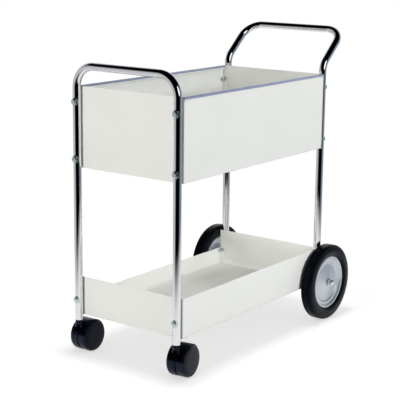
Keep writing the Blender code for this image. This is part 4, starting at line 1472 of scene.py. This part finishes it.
@dataclass
class Studio:
    """Camera, lamps, white floor and the room that the chrome mirrors."""

    lens_mm: float = 109.13
    sensor_mm: float = 36.0
    sight: float = 50.0
    azimuth: float = math.radians(36.53)
    elevation: float = math.radians(12.56)
    roll: float = math.radians(0.62)
    camera_at: Triple = (2.28002, -3.16266, 1.31079)
    floor_size: float = 12.0
    floor_drop: float = 0.05 * MM
    paper: str = "F4F4F4"
    floor_lift: float = 0.645
    mirrored_lift: float = 0.48
    daylight: float = 0.20
    paper_middle: Triple = (0.18, 0.0, 0.0)
    paper_radius: tuple[float, float] = (0.85, 1.95)
    white_radius: tuple[float, float] = (0.9, 1.5)
    room: tuple[tuple[float, str], ...] = (
        (-180, "FFFFFF"), (-150, "D9D9DB"), (-120, "B4B4B8"), (-95, "C8C8CC"), (-76, "CFCDD1"),
        (-60, "ADABB0"),
        (-44, "3C3C40"), (-28, "000000"), (42, "000000"), (62, "59636E"), (85, "8A97A4"), (118, "8E99A5"),
        (150, "C9CDD2"), (180, "FFFFFF"))
    ceiling: tuple[float, float] = (0.02, 0.54)
    ceiling_slope: float = 0.65
    window_bearing: float = math.radians(46)
    window_rise: float = math.radians(20)
    window_reach: tuple[float, float] = (math.radians(20), math.radians(14))
    window_level: float = 1.5
    lamps: tuple[Softbox, ...] = (
        Softbox("front_softbox", (-0.2, -5.0, 1.7), 128.0),
        Softbox("low_front_softbox", (-0.2, -5.0, 0.3), 38.0, height=0.3),
        Softbox("right_softbox", (5.2, 0.1, 2.2), 190.0, "F9FAFF"),
        Softbox("low_right_softbox", (5.2, 0.1, 0.3), 32.0, "F9FAFF", height=0.3),
        Softbox("rear_softbox", (0.4, 5.2, 2.4), 130.0),
        Softbox("left_softbox", (-5.2, 0.3, 2.4), 130.0),
        Softbox("overhead_softbox", (0.0, -0.28, 4.0), 42.0, width=0.4, height=0.4, towards=(0.0, -0.28, 0.0),
                lights=Lights.FLOOR),
    )

    def build(self) -> None:
        """Sets up everything around the cart."""
        scene = bpy.context.scene
        scene.view_settings.view_transform = "Standard"
        self.camera(scene)
        floor = self.floor()
        self.world(scene)
        for lamp in self.lamps:
            lamp.hang(floor)

    def camera(self, scene: Scene) -> None:
        """The photograph's camera.

        Args:
            scene: The scene that looks through it.
        """
        data = bpy.data.cameras.new("photo_camera")
        data.sensor_width = self.sensor_mm
        data.lens = self.lens_mm
        data.clip_end = self.sight
        back = Vector((math.sin(self.azimuth) * math.cos(self.elevation),
                       -math.cos(self.azimuth) * math.cos(self.elevation), math.sin(self.elevation)))
        right = Vector((math.cos(self.azimuth), math.sin(self.azimuth), 0))
        up = back.cross(right)
        rolled_right = math.cos(self.roll) * right + math.sin(self.roll) * up
        rolled_up = math.cos(self.roll) * up - math.sin(self.roll) * right
        matrix = Matrix((rolled_right, rolled_up, back)).transposed().to_4x4()
        matrix.translation = Vector(self.camera_at)
        camera = bpy.data.objects.new("photo_camera", data)
        camera.matrix_world = matrix
        scene.collection.objects.link(camera)
        scene.camera = camera

    def far(self, tree: NodeTree, middle: Triple, radii: tuple[float, float]) -> NodeSocket:
        """How far a point of the floor is out: 0 inside the first radius, 1 outside the second.

        Args:
            tree: The floor's nodes.
            middle: Centre of both circles.
            radii: The two radii.

        Returns:
            The value socket.
        """
        where = add_node(tree, "ShaderNodeTexCoord")
        away = add_node(tree, "ShaderNodeVectorMath", {0: where.outputs["Object"], 1: middle},
                        operation="DISTANCE")
        ring = add_node(tree, "ShaderNodeMapRange",
                        {"Value": away.outputs["Value"], "From Min": radii[0], "From Max": radii[1]},
                        interpolation_type="SMOOTHSTEP")
        return ring.outputs["Result"]

    def straight(self, tree: NodeTree, rays: Node) -> Node:
        """Says whether the camera sees a point, also through something clear.

        Args:
            tree: The nodes of the floor or the room.
            rays: Their Light Path node.

        Returns:
            A node whose output is 1 there.
        """
        return add_node(tree, "ShaderNodeMath", operation="MAXIMUM",
                        links={0: rays.outputs["Is Camera Ray"], 1: rays.outputs["Is Transmission Ray"]})

    def floor(self) -> Object:
        """White paper floor: it keeps the cart's shadow, and ends a stride away for what mirrors it.

        Returns:
            The floor.
        """
        bm = bmesh.new()
        bmesh.ops.create_grid(bm, x_segments=1, y_segments=1, size=self.floor_size / 2)
        bmesh.ops.translate(bm, vec=(0, 0, -self.floor_drop), verts=bm.verts)
        mesh = bpy.data.meshes.new("studio_floor")
        bm.to_mesh(mesh)
        bm.free()
        floor = bpy.data.objects.new("studio_floor", mesh)
        bpy.context.scene.collection.objects.link(floor)
        material = bpy.data.materials.new("studio_paper")
        material.use_nodes = True
        tree = material.node_tree
        shader = tree.nodes["Principled BSDF"]
        shader.inputs["Base Color"].default_value = linear_colour(self.paper)
        shader.inputs["Roughness"].default_value = 1.0
        shader.inputs["Specular IOR Level"].default_value = 0.0
        rays = add_node(tree, "ShaderNodeLightPath")
        straight = self.straight(tree, rays)
        shown_lift = add_node(tree, "ShaderNodeMath", {0: straight, 1: self.floor_lift}, operation="MULTIPLY")
        lift = add_node(tree, "ShaderNodeMath", {0: rays.outputs["Is Glossy Ray"], 1: self.mirrored_lift,
                                                 2: shown_lift}, operation="MULTIPLY_ADD")
        glow = add_node(tree, "ShaderNodeEmission", {"Color": (*WHITE, 1), "Strength": lift})
        paper = add_node(tree, "ShaderNodeAddShader", {0: shader, 1: glow})
        white = add_node(tree, "ShaderNodeEmission", {"Color": (*WHITE, 1), "Strength": 1.0})
        outside = self.far(tree, (0, 0, 0), self.white_radius)
        fade = add_node(tree, "ShaderNodeMath", {0: straight, 1: outside}, operation="MULTIPLY")
        shown = add_node(tree, "ShaderNodeMixShader", {0: fade, 1: paper, 2: white})
        beyond = self.far(tree, self.paper_middle, self.paper_radius)
        gone = add_node(tree, "ShaderNodeMath", {0: rays.outputs["Is Glossy Ray"], 1: beyond},
                        operation="MULTIPLY")
        clear = add_node(tree, "ShaderNodeBsdfTransparent")
        both = add_node(tree, "ShaderNodeMixShader", {0: gone, 1: shown, 2: clear})
        tree.links.new(both.outputs[0], tree.nodes["Material Output"].inputs["Surface"])
        mesh.materials.append(material)
        return floor

    def world(self, scene: Scene) -> None:
        """White backdrop, pale walls at both sides, and a dark room behind the camera and overhead.

        Args:
            scene: The scene that it surrounds.
        """
        world = bpy.data.worlds.new("studio_room")
        scene.world = world
        world.use_nodes = True
        tree = world.node_tree
        tree.nodes.clear()
        rays = add_node(tree, "ShaderNodeLightPath")
        where = add_node(tree, "ShaderNodeTexCoord")
        rightward = (math.cos(self.azimuth), math.sin(self.azimuth), 0)
        forward = (math.sin(self.azimuth), -math.cos(self.azimuth), 0)
        across, along = (add_node(tree, "ShaderNodeVectorMath", {0: where.outputs["Generated"], 1: axis},
                                  operation="DOT_PRODUCT") for axis in (rightward, forward))
        bearing = add_node(tree, "ShaderNodeMath", {0: across.outputs["Value"], 1: along.outputs["Value"]},
                           operation="ARCTAN2")
        round_room = add_node(tree, "ShaderNodeMapRange", {"Value": bearing, "From Min": -math.pi,
                                                           "From Max": math.pi})
        walls = add_node(tree, "ShaderNodeValToRGB", {"Fac": round_room.outputs["Result"]})
        stops = walls.color_ramp.elements
        stops.remove(stops[0])
        stops[0].position = 0
        stops[0].color = linear_colour(self.room[0][1])
        for degrees, tone in self.room[1:]:
            stops.new(HALF + degrees / DEGREES_ROUND).color = linear_colour(tone)
        slope = (self.ceiling_slope * forward[0], self.ceiling_slope * forward[1], 1.0)
        height = add_node(tree, "ShaderNodeVectorMath", {0: where.outputs["Generated"], 1: slope},
                          operation="DOT_PRODUCT")
        below = add_node(tree, "ShaderNodeMapRange",
                         {"Value": height.outputs["Value"], "From Min": self.ceiling[0],
                          "From Max": self.ceiling[1], "To Min": 1.0, "To Max": 0.0},
                         interpolation_type="SMOOTHSTEP")
        flat = math.cos(self.window_rise)
        ahead, aside = flat * math.cos(self.window_bearing), flat * math.sin(self.window_bearing)
        towards = (ahead * forward[0] + aside * rightward[0], ahead * forward[1] + aside * rightward[1],
                   math.sin(self.window_rise))
        nearness = add_node(tree, "ShaderNodeVectorMath", {0: where.outputs["Generated"], 1: towards},
                            operation="DOT_PRODUCT")
        window = add_node(tree, "ShaderNodeMapRange",
                          {"Value": nearness.outputs["Value"], "From Min": math.cos(self.window_reach[0]),
                           "From Max": math.cos(self.window_reach[1]), "To Max": self.window_level},
                          interpolation_type="SMOOTHSTEP")
        pane = add_node(tree, "ShaderNodeVectorMath", {0: WHITE, "Scale": window.outputs["Result"]},
                        operation="SCALE")
        mirrored = add_node(tree, "ShaderNodeVectorMath",
                            {0: walls.outputs["Color"], 1: below.outputs["Result"],
                             2: pane.outputs["Vector"]},
                            operation="MULTIPLY_ADD")
        fill = add_node(tree, "ShaderNodeVectorMath", {0: WHITE, "Scale": self.daylight}, operation="SCALE")
        unseen = add_node(tree, "ShaderNodeMix", {0: rays.outputs["Is Glossy Ray"], 4: fill.outputs["Vector"],
                                                  5: mirrored.outputs["Vector"]}, data_type="VECTOR")
        direct = self.straight(tree, rays)
        colour = add_node(tree, "ShaderNodeMix", {0: direct, 4: unseen.outputs[1], 5: WHITE},
                          data_type="VECTOR")
        light = add_node(tree, "ShaderNodeBackground", {"Color": colour.outputs[1], "Strength": 1.0})
        output = add_node(tree, "ShaderNodeOutputWorld")
        tree.links.new(light.outputs[0], output.inputs["Surface"])


def main() -> None:
    """Loads the frame and builds the cart's looks around it."""
    logging.basicConfig(level=logging.INFO, format="%(message)s")
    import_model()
    Studio().build()
    TubeFrames().build()
    UpperBasket().build()
    LowerBasket().build()
    Fasteners().build()
    RearAxle().build()
    for side in Side:
        RearWheel(side).build()
        TwinCaster(side).build()


if __name__ == "__main__":
    main()
